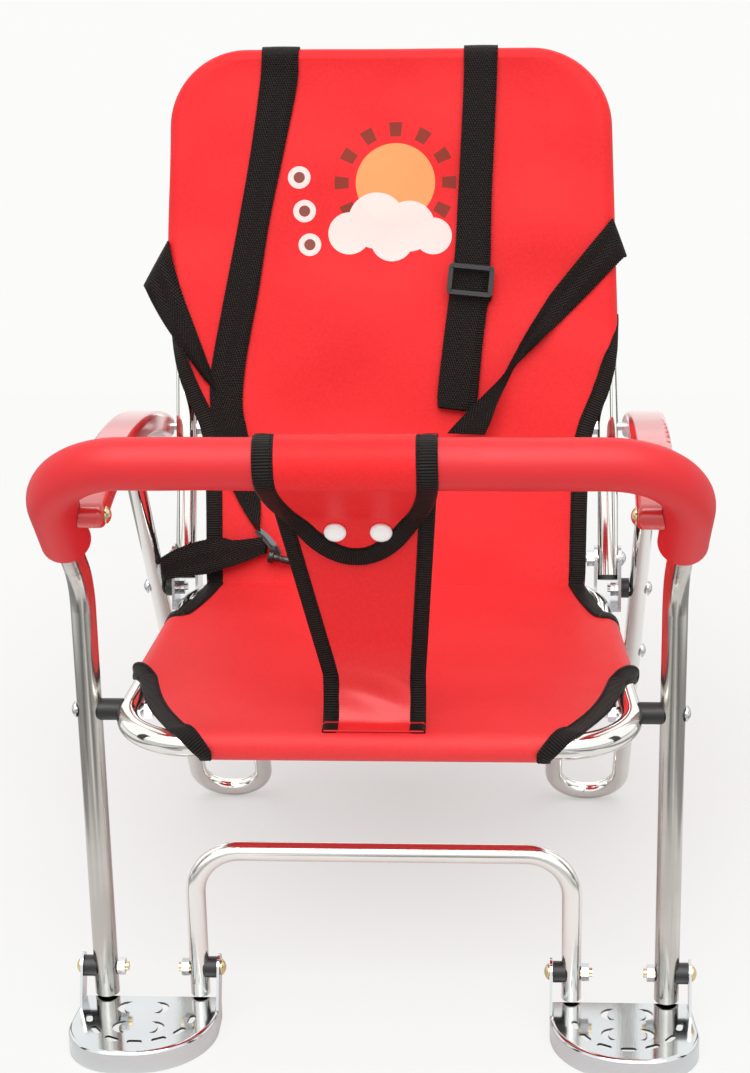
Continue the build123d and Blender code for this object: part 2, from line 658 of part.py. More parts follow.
# Pivots of the foot plates on the legs
outer_bush_x = OUTER_EAR_X - MOVE_GAP
with BuildPart() as pedal_bushes:
    for side in SIDES:
        length = outer_bush_x - LEG_X - FRAME_TUBE / 2 + BUSH_WRAP
        bush((side * outer_bush_x, LEG_Y, PEDAL_AXIS_Z), (-side, 0, 0), length)
        with BuildLine() as leg_line:
            Line((side * LEG_X, LEG_Y, TUBE_END_Z), (side * LEG_X, LEG_Y, PEDAL_AXIS_Z + BUSH_DIA))
        sweep_round(leg_line.line, FRAME_TUBE + 2 * SEAT_GAP, mode=Mode.SUBTRACT)

with BuildPart() as pedal_bolts:
    for side in SIDES:
        seat_x = plate_out_x + MOVE_GAP
        grip = seat_x - leg_in_x + NUT_HEIGHT + BOLT_TAIL
        domed_bolt(across(side * seat_x, LEG_Y, PEDAL_AXIS_Z, -side), grip)

with BuildPart() as pedal_nuts:
    for side in SIDES:
        hex_nut(across(side * (leg_in_x - SEAT_GAP), LEG_Y, PEDAL_AXIS_Z, -side))

# Bridge bar and its pivots in the inner ears
with BuildPart() as bridge_bar:
    sweep_round(bridge_path.line, BRIDGE_TUBE, BRIDGE_TUBE - 2 * TUBE_WALL)
    drill((0, LEG_Y, PEDAL_AXIS_Z), (1, 0, 0), HOLE_DIA, 2 * BRIDGE_X + 2 * BRIDGE_TUBE)

inner_bush_x = INNER_EAR_X + MOVE_GAP
bridge_out_x = BRIDGE_X + BRIDGE_TUBE / 2
with BuildPart() as bridge_bushes:
    for side in SIDES:
        length = BRIDGE_X - BRIDGE_TUBE / 2 + BUSH_WRAP - inner_bush_x
        bush((side * inner_bush_x, LEG_Y, PEDAL_AXIS_Z), (side, 0, 0), length)
        with BuildLine() as upright:
            Line((side * BRIDGE_X, LEG_Y, TUBE_END_Z), (side * BRIDGE_X, LEG_Y, PEDAL_AXIS_Z + BUSH_DIA))
        sweep_round(upright.line, BRIDGE_TUBE + 2 * SEAT_GAP, mode=Mode.SUBTRACT)

with BuildPart() as bridge_bolts:
    for side in SIDES:
        seat_x = plate_in_x - MOVE_GAP
        grip = bridge_out_x - seat_x + NUT_HEIGHT + BOLT_TAIL
        domed_bolt(across(side * seat_x, LEG_Y, PEDAL_AXIS_Z, side), grip)

with BuildPart() as bridge_nuts:
    for side in SIDES:
        hex_nut(across(side * (bridge_out_x + SEAT_GAP), LEG_Y, PEDAL_AXIS_Z, side))


# Sling: sheet pockets round the tubes, with flat sheets between them
def hem_section(plane, inside, outside):
    """Section of a pocket: half round a tube at the plane's origin, then flat hems along +X."""
    with BuildSketch(plane) as section:
        Circle(outside)
        Rectangle(HEM, 2 * outside, align=(Align.MIN, Align.CENTER))
        Circle(inside, mode=Mode.SUBTRACT)
        Rectangle(HEM, 2 * inside, align=(Align.MIN, Align.CENTER), mode=Mode.SUBTRACT)
    return section.sketch


side_front = Vector(ring_half(LEG_Y + SEAT_SIDE_FRONT), LEG_Y + SEAT_SIDE_FRONT, SEAT_Z)
side_rear = Vector(ring_half(LEG_Y + SEAT_SIDE_REAR), LEG_Y + SEAT_SIDE_REAR, SEAT_Z)
side_way = (side_rear - side_front).normalized()
sheet_rear = Vector(SEAT_REAR_X, LEG_Y + SEAT_REAR, SEAT_Z)
notch_mid = (side_rear + sheet_rear) / 2 - Vector(NOTCH_DEPTH, 0, 0)
front_end = Vector(SEAT_FRONT_X, RING_FRONT_Y, SEAT_Z)
sheet_z = SEAT_Z + RING_POCKET_IN

with BuildPart() as seat_cover:
    with BuildSketch(Plane.XY.offset(sheet_z)) as half_sheet:
        with BuildLine():
            Polyline(
                (0, sheet_rear.Y),
                (0, RING_FRONT_Y),
                (front_end.X, front_end.Y),
                (side_front.X, side_front.Y),
                (side_rear.X, side_rear.Y),
            )
            ThreePointArc(
                (side_rear.X, side_rear.Y), (notch_mid.X, notch_mid.Y), (sheet_rear.X, sheet_rear.Y)
            )
            Line((sheet_rear.X, sheet_rear.Y), (0, sheet_rear.Y))
        make_face()
        mirror(about=Plane.YZ)
    extrude(amount=SHEET)
    side_plane = Plane(origin=side_front, x_dir=side_way.cross(Vector(0, 0, 1)) * -1, z_dir=side_way)
    side_pocket = extrude(
        hem_section(side_plane, RING_POCKET_IN, RING_POCKET_OUT), amount=(side_rear - side_front).length
    )
    mirror(side_pocket, about=Plane.YZ)
    front_plane = Plane(origin=(-front_end.X, front_end.Y, SEAT_Z), x_dir=(0, 1, 0), z_dir=(1, 0, 0))
    extrude(hem_section(front_plane, RING_POCKET_IN, RING_POCKET_OUT), amount=2 * front_end.X)

crease_t = (sheet_z + SHEET + LAY_GAP - FOOT_Z - POCKET_IN * LEAN_SIN) / LEAN_COS
cover_edge_x = BACK_X + POCKET_OUT

with BuildLine(BACK) as pocket_path:
    FilletPolyline(
        (-BACK_X, COVER_NECK_T),
        (-BACK_X, BACK_LEN),
        (BACK_X, BACK_LEN),
        (BACK_X, COVER_NECK_T),
        radius=BACK_BEND,
    )

with BuildPart() as back_cover:
    start = Plane(origin=pocket_path.line @ 0, x_dir=(1, 0, 0), z_dir=pocket_path.line % 0)
    sweep(hem_section(start, POCKET_IN, POCKET_OUT), path=pocket_path.line)
    for level, foot_t in ((POCKET_IN, crease_t), (-POCKET_OUT, COVER_REAR_T)):
        with BuildSketch(BACK.offset(level)):
            with Locations((0, foot_t)):
                outline = Rectangle(2 * BACK_X, BACK_LEN - foot_t, align=(Align.CENTER, Align.MIN))
            fillet(outline.vertices().sort_by(Axis.Y)[2:], BACK_BEND)
        extrude(amount=SHEET)
    with BuildSketch(BACK.offset(-2 * POCKET_OUT)):
        with BuildLine():
            ThreePointArc(
                (cover_edge_x, COVER_EDGE_T), (COVER_MID_X, COVER_MID_T), (COVER_NECK_X, COVER_NECK_T)
            )
            Polyline(
                (COVER_NECK_X, COVER_NECK_T),
                (COVER_FOOT_X, crease_t - SHEET),
                (cover_edge_x + WEB, crease_t - SHEET),
                (cover_edge_x + WEB, COVER_EDGE_T),
                (cover_edge_x, COVER_EDGE_T),
            )
        make_face()
        mirror(about=Plane.YZ)
    extrude(amount=4 * POCKET_OUT, mode=Mode.SUBTRACT)


# Black edge tape, laid flat on the sling along its free edges
def straight_tape(plane, start, end, shift):
    """Flat tape between an edge and the same edge shifted inward."""
    with BuildSketch(plane) as tape:
        with BuildLine():
            Polyline(start, end, end + shift, start + shift, close=True)
        make_face()
    extrude(tape.sketch, amount=BINDING_T)


def arched_tape(plane, start, middle, end, shift):
    """Flat tape between an arched edge and the same edge shifted inward."""
    with BuildSketch(plane) as tape:
        with BuildLine():
            ThreePointArc(start, middle, end)
            Line(end, end + shift)
            ThreePointArc(end + shift, middle + shift, start + shift)
            Line(start + shift, start)
        make_face()
    extrude(tape.sketch, amount=BINDING_T)


seat_top = Plane.XY.offset(SEAT_Z + RING_POCKET_OUT + SEAT_GAP)
with BuildPart() as seat_binding:
    for side in SIDES:
        p = Vector(side * front_end.X, front_end.Y)
        q = Vector(side * side_front.X, side_front.Y)
        inward = Vector(-side * (q.Y - p.Y), side * (q.X - p.X)).normalized() * BINDING
        straight_tape(seat_top, p, q, inward)
        p = Vector(side * side_rear.X, side_rear.Y)
        m = Vector(side * notch_mid.X, notch_mid.Y)
        q = Vector(side * sheet_rear.X, sheet_rear.Y - BINDING)
        arched_tape(seat_top, p, m, q, Vector(-side * BINDING, -BINDING / 2))

back_face = BACK.offset(TAPE_IN)
with BuildPart() as back_binding:
    for side in SIDES:
        p = Vector(side * BACK_X, COVER_EDGE_T)
        m = Vector(side * COVER_MID_X, COVER_MID_T + BINDING)
        q = Vector(side * COVER_NECK_X, COVER_NECK_T)
        arched_tape(back_face, p, m, q, Vector(-side * BINDING, 0))
        foot = Vector(side * COVER_FOOT_X, crease_t + BINDING)
        straight_tape(back_face, q, foot, Vector(-side * BINDING, 0))

# Crotch strap: up from the seat, round behind the bar, over it and down in front as a flap
crotch_mid = CROTCH_T / 2
wrap_r = FOAM_DIA / 2 + LAY_GAP + crotch_mid
strap_z = SEAT_Z + RING_POCKET_OUT + LAY_GAP + crotch_mid
strap_foot = Vector(LEG_Y - CROTCH_FOOT, strap_z)
bar = Vector(BAR_Y, BAR_Z)


def tangent_to_bar(point, way):
    """Point where a strap from a point meets its wrap round the bar."""
    away = point - bar
    turn = atan2(away.Y, away.X) + way * acos(wrap_r / hypot(away.X, away.Y))
    return bar + Vector(cos(turn), sin(turn)) * wrap_r


rear_touch = tangent_to_bar(strap_foot, 1)
strap_way = (rear_touch - strap_foot).normalized()
strap_front = Vector(-strap_way.Y, strap_way.X)
flap_run = (SEAT_Z + FLAP_END_RISE - strap_foot.Y) / strap_way.Y
flap_end = strap_foot + strap_way * flap_run + strap_front * (CROTCH_T + LAY_GAP)
front_touch = tangent_to_bar(flap_end, -1)
flap_way = (front_touch - flap_end).normalized()
bar_top = bar + Vector(0, wrap_r)
front_view = Plane(origin=(0, 0, 0), x_dir=(1, 0, 0), z_dir=(0, -1, 0))
side_view = Plane.YZ
crotch_left = min(CROTCH_FOOT_X[0], CROTCH_BAR_X[0])
crotch_right = max(CROTCH_FOOT_X[1], CROTCH_BAR_X[1])
crotch_reach = 2 * max(abs(crotch_left), crotch_right)
wrap_top = BAR_Z + wrap_r + CROTCH_T

with BuildPart() as flap:
    with BuildSketch(side_view):
        with BuildLine():
            Line(flap_end, front_touch)
            half_way = (front_touch + bar_top - bar * 2).normalized()
            ThreePointArc(front_touch, bar + half_way * wrap_r, bar_top)
        trace(line_width=CROTCH_T)
    extrude(amount=crotch_reach, both=True)
    with BuildSketch(front_view):
        with BuildLine():
            Polyline(
                (CROTCH_BAR_X[0], flap_end.Y),
                (CROTCH_BAR_X[1], flap_end.Y),
                (CROTCH_BAR_X[1], wrap_top),
                (CROTCH_BAR_X[0], wrap_top),
                close=True,
            )
        outline = make_face()
        fillet(outline.vertices().sort_by(Axis.Y)[:2], FLAP_END_R)
    extrude(amount=2 * REAR_REACH, both=True, mode=Mode.INTERSECT)

with BuildPart() as crotch_strap:
    with BuildSketch(side_view):
        with BuildLine():
            Polyline(strap_foot + Vector(BINDING, 0), strap_foot, rear_touch)
            half_way = (rear_touch + bar_top - bar * 2).normalized()
            ThreePointArc(rear_touch, bar + half_way * wrap_r, bar_top)
        trace(line_width=CROTCH_T)
    extrude(amount=crotch_reach, both=True)
    with BuildSketch(front_view):
        with BuildLine():
            Polyline(
                (CROTCH_FOOT_X[0], strap_z - CROTCH_T),
                (CROTCH_FOOT_X[1], strap_z - CROTCH_T),
                (CROTCH_BAR_X[1], wrap_top),
                (CROTCH_BAR_X[0], wrap_top),
                close=True,
            )
        make_face()
    extrude(amount=2 * REAR_REACH, both=True, mode=Mode.INTERSECT)
    add(flap.part)

flap_out = Vector(-flap_way.Y, flap_way.X)
flap_face = flap_end + flap_out * (crotch_mid + SEAT_GAP)
flap_plane = Plane(origin=(0, flap_face.X, flap_face.Y), x_dir=(1, 0, 0), z_dir=(0, flap_out.X, flap_out.Y))
flap_length = (front_touch - flap_end).length


def flap_edge(inset):
    """Outline of the flap on its front face, drawn in by an inset."""
    with BuildSketch(flap_plane) as edge:
        with BuildLine():
            Polyline(
                (CROTCH_BAR_X[0] + inset, inset),
                (CROTCH_BAR_X[1] - inset, inset),
                (CROTCH_BAR_X[1] - inset, flap_length),
                (CROTCH_BAR_X[0] + inset, flap_length),
                close=True,
            )
        make_face()
        fillet(edge.vertices().sort_by(Axis.Y)[:2], FLAP_END_R - inset)
    return edge.sketch


with BuildPart() as crotch_binding:
    extrude(flap_edge(0), amount=BINDING_T)
    extrude(flap_edge(BINDING), amount=BINDING_T, mode=Mode.SUBTRACT)

snap_up = (SEAT_Z + SNAP_RISE - flap_face.Y) / flap_way.Y
with BuildPart() as snap_caps:
    with BuildSketch(flap_plane):
        with Locations(*[(x, snap_up) for x in SNAP_X]):
            Circle(SNAP_DIA / 2)
    extrude(amount=SNAP_T)


# Harness webbing, laid on the front of the back
def web_run(points, layer):
    """Flat run of webbing along points on the back, layer deep in the stack."""
    level = WEB_IN + layer * (WEB_T + LAY_GAP)
    with BuildSketch(BACK.offset(level)) as run:
        with BuildLine():
            first = Vector(*points[1]) - Vector(*points[0])
            last = Vector(*points[-1]) - Vector(*points[-2])
            Spline(*points, tangents=(first, last))
        trace(line_width=WEB)
    extrude(run.sketch, amount=WEB_T)


def web_over_top(x):
    """Webbing from the front of the back over its top edge and down the rear."""
    top = back_point(x, BACK_LEN)
    with BuildSketch(Plane(origin=top, x_dir=BACK.z_dir, z_dir=(-1, 0, 0))) as wrap:
        Circle(WEB_OUT)
        Circle(WEB_IN, mode=Mode.SUBTRACT)
        Rectangle(2 * WEB_OUT, WEB_OUT, align=(Align.CENTER, Align.MAX), mode=Mode.SUBTRACT)
        with Locations((-WEB_IN, 0)):
            Rectangle(WEB_T, WEB_TAIL, align=(Align.MAX, Align.MAX))
    extrude(wrap.sketch, amount=WEB / 2, both=True)


def on_back(route):
    """Places on the back for a route given in shares of its half width and length."""
    return [(across_share * BACK_X, up_share * BACK_LEN) for across_share, up_share in route]


with BuildPart() as left_shoulder_strap:
    web_over_top(LEFT_SHOULDER[0][0] * BACK_X)
    web_run(on_back(LEFT_SHOULDER), 0)

with BuildPart() as right_shoulder_strap:
    web_over_top(RIGHT_SHOULDER[0][0] * BACK_X)
    web_run(on_back(RIGHT_SHOULDER), 0)

slider_place = on_back([SLIDER_PLACE])
with BuildPart() as strap_slider:
    with BuildSketch(BACK.offset(WEB_OUT + SEAT_GAP)):
        with Locations(*slider_place):
            RectangleRounded(SLIDER_WIDTH, SLIDER_HEIGHT, SLIDER_ROUND)
            Rectangle(SLIDER_WIDTH - 2 * SLIDER_BAR, SLIDER_HEIGHT - 2 * SLIDER_BAR, mode=Mode.SUBTRACT)
    extrude(amount=SLIDER_T)

with BuildPart() as left_side_strap:
    web_run(on_back(LEFT_SIDE), 1)

with BuildPart() as right_side_strap:
    web_run(on_back(RIGHT_SIDE), 1)

with BuildPart() as waist_buckle:
    with BuildSketch(BACK.offset(TAPE_IN)):
        with Locations((BUCKLE_X, BUCKLE_RISE)):
            RectangleRounded(BUCKLE_WIDTH, BUCKLE_HEIGHT, BUCKLE_SLOT)
            Rectangle(BUCKLE_WIDTH / 2, BUCKLE_SLOT, mode=Mode.SUBTRACT)
    extrude(amount=BUCKLE_T)

waist_start_x = -STRUT_X + REAR_TUBE / 2 + LAY_GAP
waist_end_x = BUCKLE_X - BUCKLE_WIDTH / 2 - 8 * LAY_GAP
loop_low = SEAT_Z + WAIST_LOOP_RISE
with BuildPart() as waist_strap:
    with BuildSketch(BACK.offset(WAIST_LEVEL)):
        with BuildLine():
            waist_xs = (waist_start_x, (waist_start_x + waist_end_x) / 2, waist_end_x)
            Polyline(*zip(waist_xs, WAIST_RISE))
        trace(line_width=WEB)
    extrude(amount=WEB_T)
    with BuildLine() as strut_line:
        Line(strut_point(-1, loop_low), strut_point(-1, loop_low + WEB))
    sweep_round(strut_line.line, REAR_TUBE + 2 * LAY_GAP + 2 * WEB_T)
    with BuildLine() as strut_line:
        Line(strut_point(-1, loop_low - WEB), strut_point(-1, loop_low + 2 * WEB))
    sweep_round(strut_line.line, REAR_TUBE + 2 * LAY_GAP, mode=Mode.SUBTRACT)

os.makedirs("parts", exist_ok=True)
PIECES = {
    "seat_ring": seat_ring,
    "guard_frame": guard_frame,
    "guard_foam": guard_foam,
    "back_frame": back_frame,
    "back_plugs": back_plugs,
    "left_hinge_bracket": left_hinge_bracket,
    "right_hinge_bracket": right_hinge_bracket,
    "hinge_bolts": hinge_bolts,
    "hinge_nuts": hinge_nuts,
    "bracket_screws": bracket_screws,
    "left_rear_leg": left_rear_leg,
    "right_rear_leg": right_rear_leg,
    "rear_cross_tube": rear_cross_tube,
    "cross_plugs": cross_plugs,
    "cross_bolts": cross_bolts,
    "strut_spacers": strut_spacers,
    "strut_bolts": strut_bolts,
    "strut_nuts": strut_nuts,
    "left_arm": left_arm,
    "right_arm": right_arm,
    "arm_bolts": arm_bolts,
    "arm_nuts": arm_nuts,
    "guard_screws": guard_screws,
    "leg_bushes": leg_bushes,
    "leg_bolts": leg_bolts,
    "leg_nuts": leg_nuts,
    "left_pedal": left_pedal,
    "right_pedal": right_pedal,
    "pedal_bushes": pedal_bushes,
    "pedal_bolts": pedal_bolts,
    "pedal_nuts": pedal_nuts,
    "bridge_bar": bridge_bar,
    "bridge_bushes": bridge_bushes,
    "bridge_bolts": bridge_bolts,
    "bridge_nuts": bridge_nuts,
    "seat_cover": seat_cover,
    "back_cover": back_cover,
    "seat_binding": seat_binding,
    "back_binding": back_binding,
    "crotch_strap": crotch_strap,
    "crotch_binding": crotch_binding,
    "snap_caps": snap_caps,
    "left_shoulder_strap": left_shoulder_strap,
    "right_shoulder_strap": right_shoulder_strap,
    "strap_slider": strap_slider,
    "left_side_strap": left_side_strap,
    "right_side_strap": right_side_strap,
    "waist_strap": waist_strap,
    "waist_buckle": waist_buckle,
}
for name, piece in PIECES.items():
    piece.part.label = name
    export_step(piece.part, f"parts/{name}.step")
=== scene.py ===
"""Looks of the child bike seat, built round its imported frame.

Sizes are in millimetres in the frame of the part: +Z up, -Y to the front of the seat, +X to the right as seen
from the front. The studio round it is in metres.
"""

import json
import logging
import math
from dataclasses import dataclass
from enum import Enum
from functools import cache, reduce
from typing import Callable, Sequence

import bpy
import numpy as np
from mathutils import Matrix, Vector


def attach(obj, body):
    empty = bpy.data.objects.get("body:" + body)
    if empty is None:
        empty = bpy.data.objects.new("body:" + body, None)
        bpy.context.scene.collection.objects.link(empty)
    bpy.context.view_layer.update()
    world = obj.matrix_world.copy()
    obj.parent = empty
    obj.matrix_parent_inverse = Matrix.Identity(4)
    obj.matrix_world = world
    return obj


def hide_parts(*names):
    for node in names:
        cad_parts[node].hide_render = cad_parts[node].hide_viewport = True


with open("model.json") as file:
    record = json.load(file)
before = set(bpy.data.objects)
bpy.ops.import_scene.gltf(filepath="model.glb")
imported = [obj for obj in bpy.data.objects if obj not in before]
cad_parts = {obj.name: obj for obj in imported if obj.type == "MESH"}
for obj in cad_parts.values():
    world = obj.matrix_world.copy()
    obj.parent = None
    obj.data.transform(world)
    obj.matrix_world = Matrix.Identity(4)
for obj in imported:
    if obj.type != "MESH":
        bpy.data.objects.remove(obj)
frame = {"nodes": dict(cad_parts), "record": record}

LOG = logging.getLogger("child_bike_seat")
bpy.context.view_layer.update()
MM = 0.001

Grid = np.ndarray
Surface = Callable[[Grid, Grid], Grid]
Pair = tuple[float, float]


class Side(Enum):
    """Side of the seat as seen from the front."""

    LEFT = -1
    RIGHT = 1


@dataclass(frozen=True)
class Layout:
    """Places shared by the pieces, in millimetres."""

    leg_y: float = -130.5915
    seat_z: float = 222.0
    ring_front: float = 50.0
    ring_rear: float = 205.0
    ring_front_x: float = 162.0
    ring_rear_x: float = 137.5
    ring_out: float = 9.7
    hinge_back: float = 199.0
    foot_rise: float = 13.0
    lean: float = 25.0
    back_x: float = 147.5
    back_len: float = 364.0
    back_bend: float = 47.0
    back_out: float = 8.7
    leg_x: float = 184.0
    knee_rise: float = 88.0
    bar_x: float = 190.0
    bar_reach: float = 85.0
    bar_rise: float = 195.0
    bar_bend: float = 48.0
    rack_from: float = 110.0
    rack_slope: float = 0.029

    def seat(self, x: Grid, y: Grid, z: Grid) -> Grid:
        """Points from the ring's own axes: y from the front legs, z from the ring's axis."""
        return np.stack(np.broadcast_arrays(x, self.leg_y + y, self.seat_z + z), axis=-1).astype(float)

    def back(self, x: Grid, up: Grid, out: Grid) -> Grid:
        """Points from the back's own axes: up along its tubes, out in front of them."""
        s, c = math.sin(math.radians(self.lean)), math.cos(math.radians(self.lean))
        return self.seat(x, self.hinge_back + up * s - out * c, self.foot_rise + up * c + out * s)

    def ring_half(self, y: Grid) -> Grid:
        """Half width of the ring at a place behind the front legs."""
        run = (y + self.ring_front) / (self.ring_front + self.ring_rear)
        return self.ring_front_x + run * (self.ring_rear_x - self.ring_front_x)

    def rack(self, up: Grid) -> Grid:
        """Sideways set of the back, which leans to the left above its arm bolts."""
        return -self.rack_slope * np.maximum(up - self.rack_from, 0)


LAY = Layout()
BACK_UP = np.array([0.0, math.sin(math.radians(LAY.lean)), math.cos(math.radians(LAY.lean))])
BACK_OUT = np.array([0.0, -math.cos(math.radians(LAY.lean)), math.sin(math.radians(LAY.lean))])


# Mesh tools


def deselect() -> None:
    """Leave object mode with nothing selected."""
    if bpy.context.object and bpy.context.object.mode != "OBJECT":
        bpy.ops.object.mode_set(mode="OBJECT")
    bpy.ops.object.select_all(action="DESELECT")


def pick(obj: bpy.types.Object) -> None:
    """Make one object the only selected and active one."""
    deselect()
    obj.select_set(True)
    bpy.context.view_layer.objects.active = obj


def patch(name: str, us: Sequence[float], vs: Sequence[float], surface: Surface) -> bpy.types.Object:
    """Lay a grid on a surface and give it a UV map in metres of cloth.

    Args:
        name: Name of the new object.
        us: Values across the grid.
        vs: Values along the grid.
        surface: Gives points in millimetres for arrays of both values.

    Returns:
        The new object, whose faces look along across x along.
    """
    deselect()
    nu, nv = len(us), len(vs)
    bpy.ops.mesh.primitive_grid_add(x_subdivisions=nu - 1, y_subdivisions=nv - 1, size=2.0)
    obj = bpy.context.object
    obj.name = name
    mesh = obj.data
    mesh.name = name
    flat = np.empty(len(mesh.vertices) * 3)
    mesh.vertices.foreach_get("co", flat)
    flat = flat.reshape(-1, 3)
    i = np.rint((flat[:, 0] + 1) / 2 * (nu - 1)).astype(int)
    j = np.rint((flat[:, 1] + 1) / 2 * (nv - 1)).astype(int)
    u, v = np.meshgrid(np.asarray(us, float), np.asarray(vs, float))
    points = surface(u, v)
    mesh.vertices.foreach_set("co", (points[j, i] * MM).ravel())
    across = np.zeros((nv, nu))
    across[:, 1:] = np.linalg.norm(np.diff(points, axis=1), axis=2).cumsum(axis=1)
    across -= across[:, nu // 2 : nu // 2 + 1]
    along = np.zeros((nv, nu))
    along[1:] = np.linalg.norm(np.diff(points, axis=0), axis=2).cumsum(axis=0)
    along = np.repeat(along[:, nu // 2 : nu // 2 + 1], nu, axis=1)
    loops = np.empty(len(mesh.loops), dtype=int)
    mesh.loops.foreach_get("vertex_index", loops)
    uv = np.stack([across[j, i][loops], along[j, i][loops]], axis=1) * MM
    mesh.uv_layers[0].data.foreach_set("uv", uv.ravel())
    mesh.update()
    return obj


def weld(name: str, parts: Sequence[bpy.types.Object], gap: float = 0.02) -> bpy.types.Object:
    """Join patches into one mesh and merge their shared edges.

    Args:
        name: Name of the joined object.
        parts: Patches that share edges.
        gap: Merging distance in millimetres.

    Returns:
        The joined object.
    """
    pick(parts[0])
    for part in parts[1:]:
        part.select_set(True)
    if len(parts) > 1:
        bpy.ops.object.join()
    obj = bpy.context.object
    obj.name = name
    obj.data.name = name
    bpy.ops.object.mode_set(mode="EDIT")
    bpy.ops.mesh.select_all(action="SELECT")
    bpy.ops.mesh.remove_doubles(threshold=gap * MM)
    bpy.ops.object.mode_set(mode="OBJECT")
    return obj


def thicken(obj: bpy.types.Object, thickness: float, offset: float = -1.0) -> None:
    """Give a sheet its thickness and shade it smooth.

    Args:
        obj: Sheet whose faces look outward.
        thickness: In millimetres.
        offset: -1 puts the thickness behind the faces, 1 in front.
    """
    pick(obj)
    wall = obj.modifiers.new("wall", "SOLIDIFY")
    wall.thickness = thickness * MM
    wall.offset = offset
    wall.use_even_offset = False
    bpy.ops.object.modifier_apply(modifier=wall.name)
    bpy.ops.object.shade_smooth_by_angle(angle=math.radians(50))


def unit(v: Grid) -> Grid:
    """Vectors of length one."""
    return v / np.maximum(np.linalg.norm(v, axis=-1, keepdims=True), 1e-9)


def smooth_path(points: Sequence[Sequence[float]], step: float) -> Grid:
    """Even points on a smooth line through given ones.

    Args:
        points: Points to pass through.
        step: Distance between the new points.

    Returns:
        Array of points.
    """
    p = np.asarray(points, float)
    p = np.vstack([2 * p[0] - p[1], p, 2 * p[-1] - p[-2]])
    dense = []
    for a, b, c, d in zip(p[:-3], p[1:-2], p[2:-1], p[3:]):
        for t in np.linspace(0, 1, 40, endpoint=False):
            dense.append(0.5 * (2 * b + (c - a) * t + (2 * a - 5 * b + 4 * c - d) * t**2
                                + (3 * b - a - 3 * c + d) * t**3))
    dense.append(p[-2])
    return even(np.array(dense), step)


def between(a: Sequence[float], b: Sequence[float], shares: Sequence[float]) -> list[Grid]:
    """Points at given shares of the way from one point to another."""
    a, b = np.asarray(a, float), np.asarray(b, float)
    return [a + (b - a) * share for share in shares]


def arc_length(line: Grid) -> Grid:
    """Distance along a line at each of its points."""
    return np.concatenate([[0], np.linalg.norm(np.diff(line, axis=0), axis=1).cumsum()])


def even(line: Grid, step: float) -> Grid:
    """Respace a line at even steps."""
    run = arc_length(line)
    places = np.linspace(0, run[-1], max(2, int(round(run[-1] / step)) + 1))
    return np.stack([np.interp(places, run, line[:, k]) for k in range(line.shape[1])], axis=1)


def bent_path(corners: Sequence[Sequence[float]], radius: float, step: float) -> Grid:
    """Straight runs joined by round bends, as a bent tube's axis.

    Args:
        corners: End points and corners.
        radius: Bend radius.
        step: Distance between points.

    Returns:
        Array of points.
    """
    p = [np.asarray(c, float) for c in corners]
    line = [p[0]]
    for a, b, c in zip(p[:-2], p[1:-1], p[2:]):
        u, v = unit(a - b), unit(c - b)
        half = math.acos(float(np.clip(u @ v, -1, 1))) / 2
        centre = b + unit(u + v) * radius / math.sin(half)
        start, end = b + u * radius / math.tan(half), b + v * radius / math.tan(half)
        e1 = unit(start - centre)
        e2 = unit((end - centre) - ((end - centre) @ e1) * e1)
        for t in np.linspace(0, math.pi - 2 * half, 16):
            line.append(centre + radius * (math.cos(t) * e1 + math.sin(t) * e2))
    line.append(p[-1])
    return even(np.array(line), step)


def ripple(x: Grid, y: Grid, size: float, seed: float) -> Grid:
    """Soft uneven waves from -1 to 1, of about a given size."""
    waves, turn, finer = 5, 2.399, 0.37
    total = np.zeros(np.broadcast(x, y).shape)
    for k in range(waves):
        a = seed * 1.7 + k * turn
        run = x * math.cos(a) + y * math.sin(a)
        total = total + np.sin(run * (1 + finer * k) * 2 * math.pi / size + seed * (k + 3))
    return total / waves


def band(name: str, first: Grid, second: Grid, thickness: float, cup: float = 0.0,
         scallop: float = 0.0, step: float = 1.0) -> bpy.types.Object:
    """Flat webbing between two edges.

    Args:
        name: Name of the new object.
        first: Points along one edge of its outer face.
        second: Matching points along the other edge; first to second to along is right-handed.
        thickness: Thickness behind the outer face.
        cup: Height of the middle over the edges.
        scallop: Depth of the woven edge's teeth.
        step: Distance between the rows.

    Returns:
        The webbing.
    """
    both = smooth_path(np.hstack([first, second]), step * math.sqrt(2))
    a, b = both[:, :3], both[:, 3:]
    across = unit(b - a)
    out = unit(np.cross(across, unit(np.gradient((a + b) / 2, axis=0))))
    teeth = scallop * np.where(np.arange(len(a)) % 2, 1.0, -1.0)[:, None]
    a, b = a - across * teeth, b + across * teeth

    def surface(u: Grid, v: Grid) -> Grid:
        """Points across and along the webbing."""
        k = np.rint(v).astype(int)
        return a[k] + (b[k] - a[k]) * u[..., None] + out[k] * (4 * cup * u * (1 - u))[..., None]

    obj = patch(name, (0.0, 0.035, 0.2, 0.4, 0.6, 0.8, 0.965, 1.0), np.arange(len(a)), surface)
    thicken(obj, thickness)
    return obj


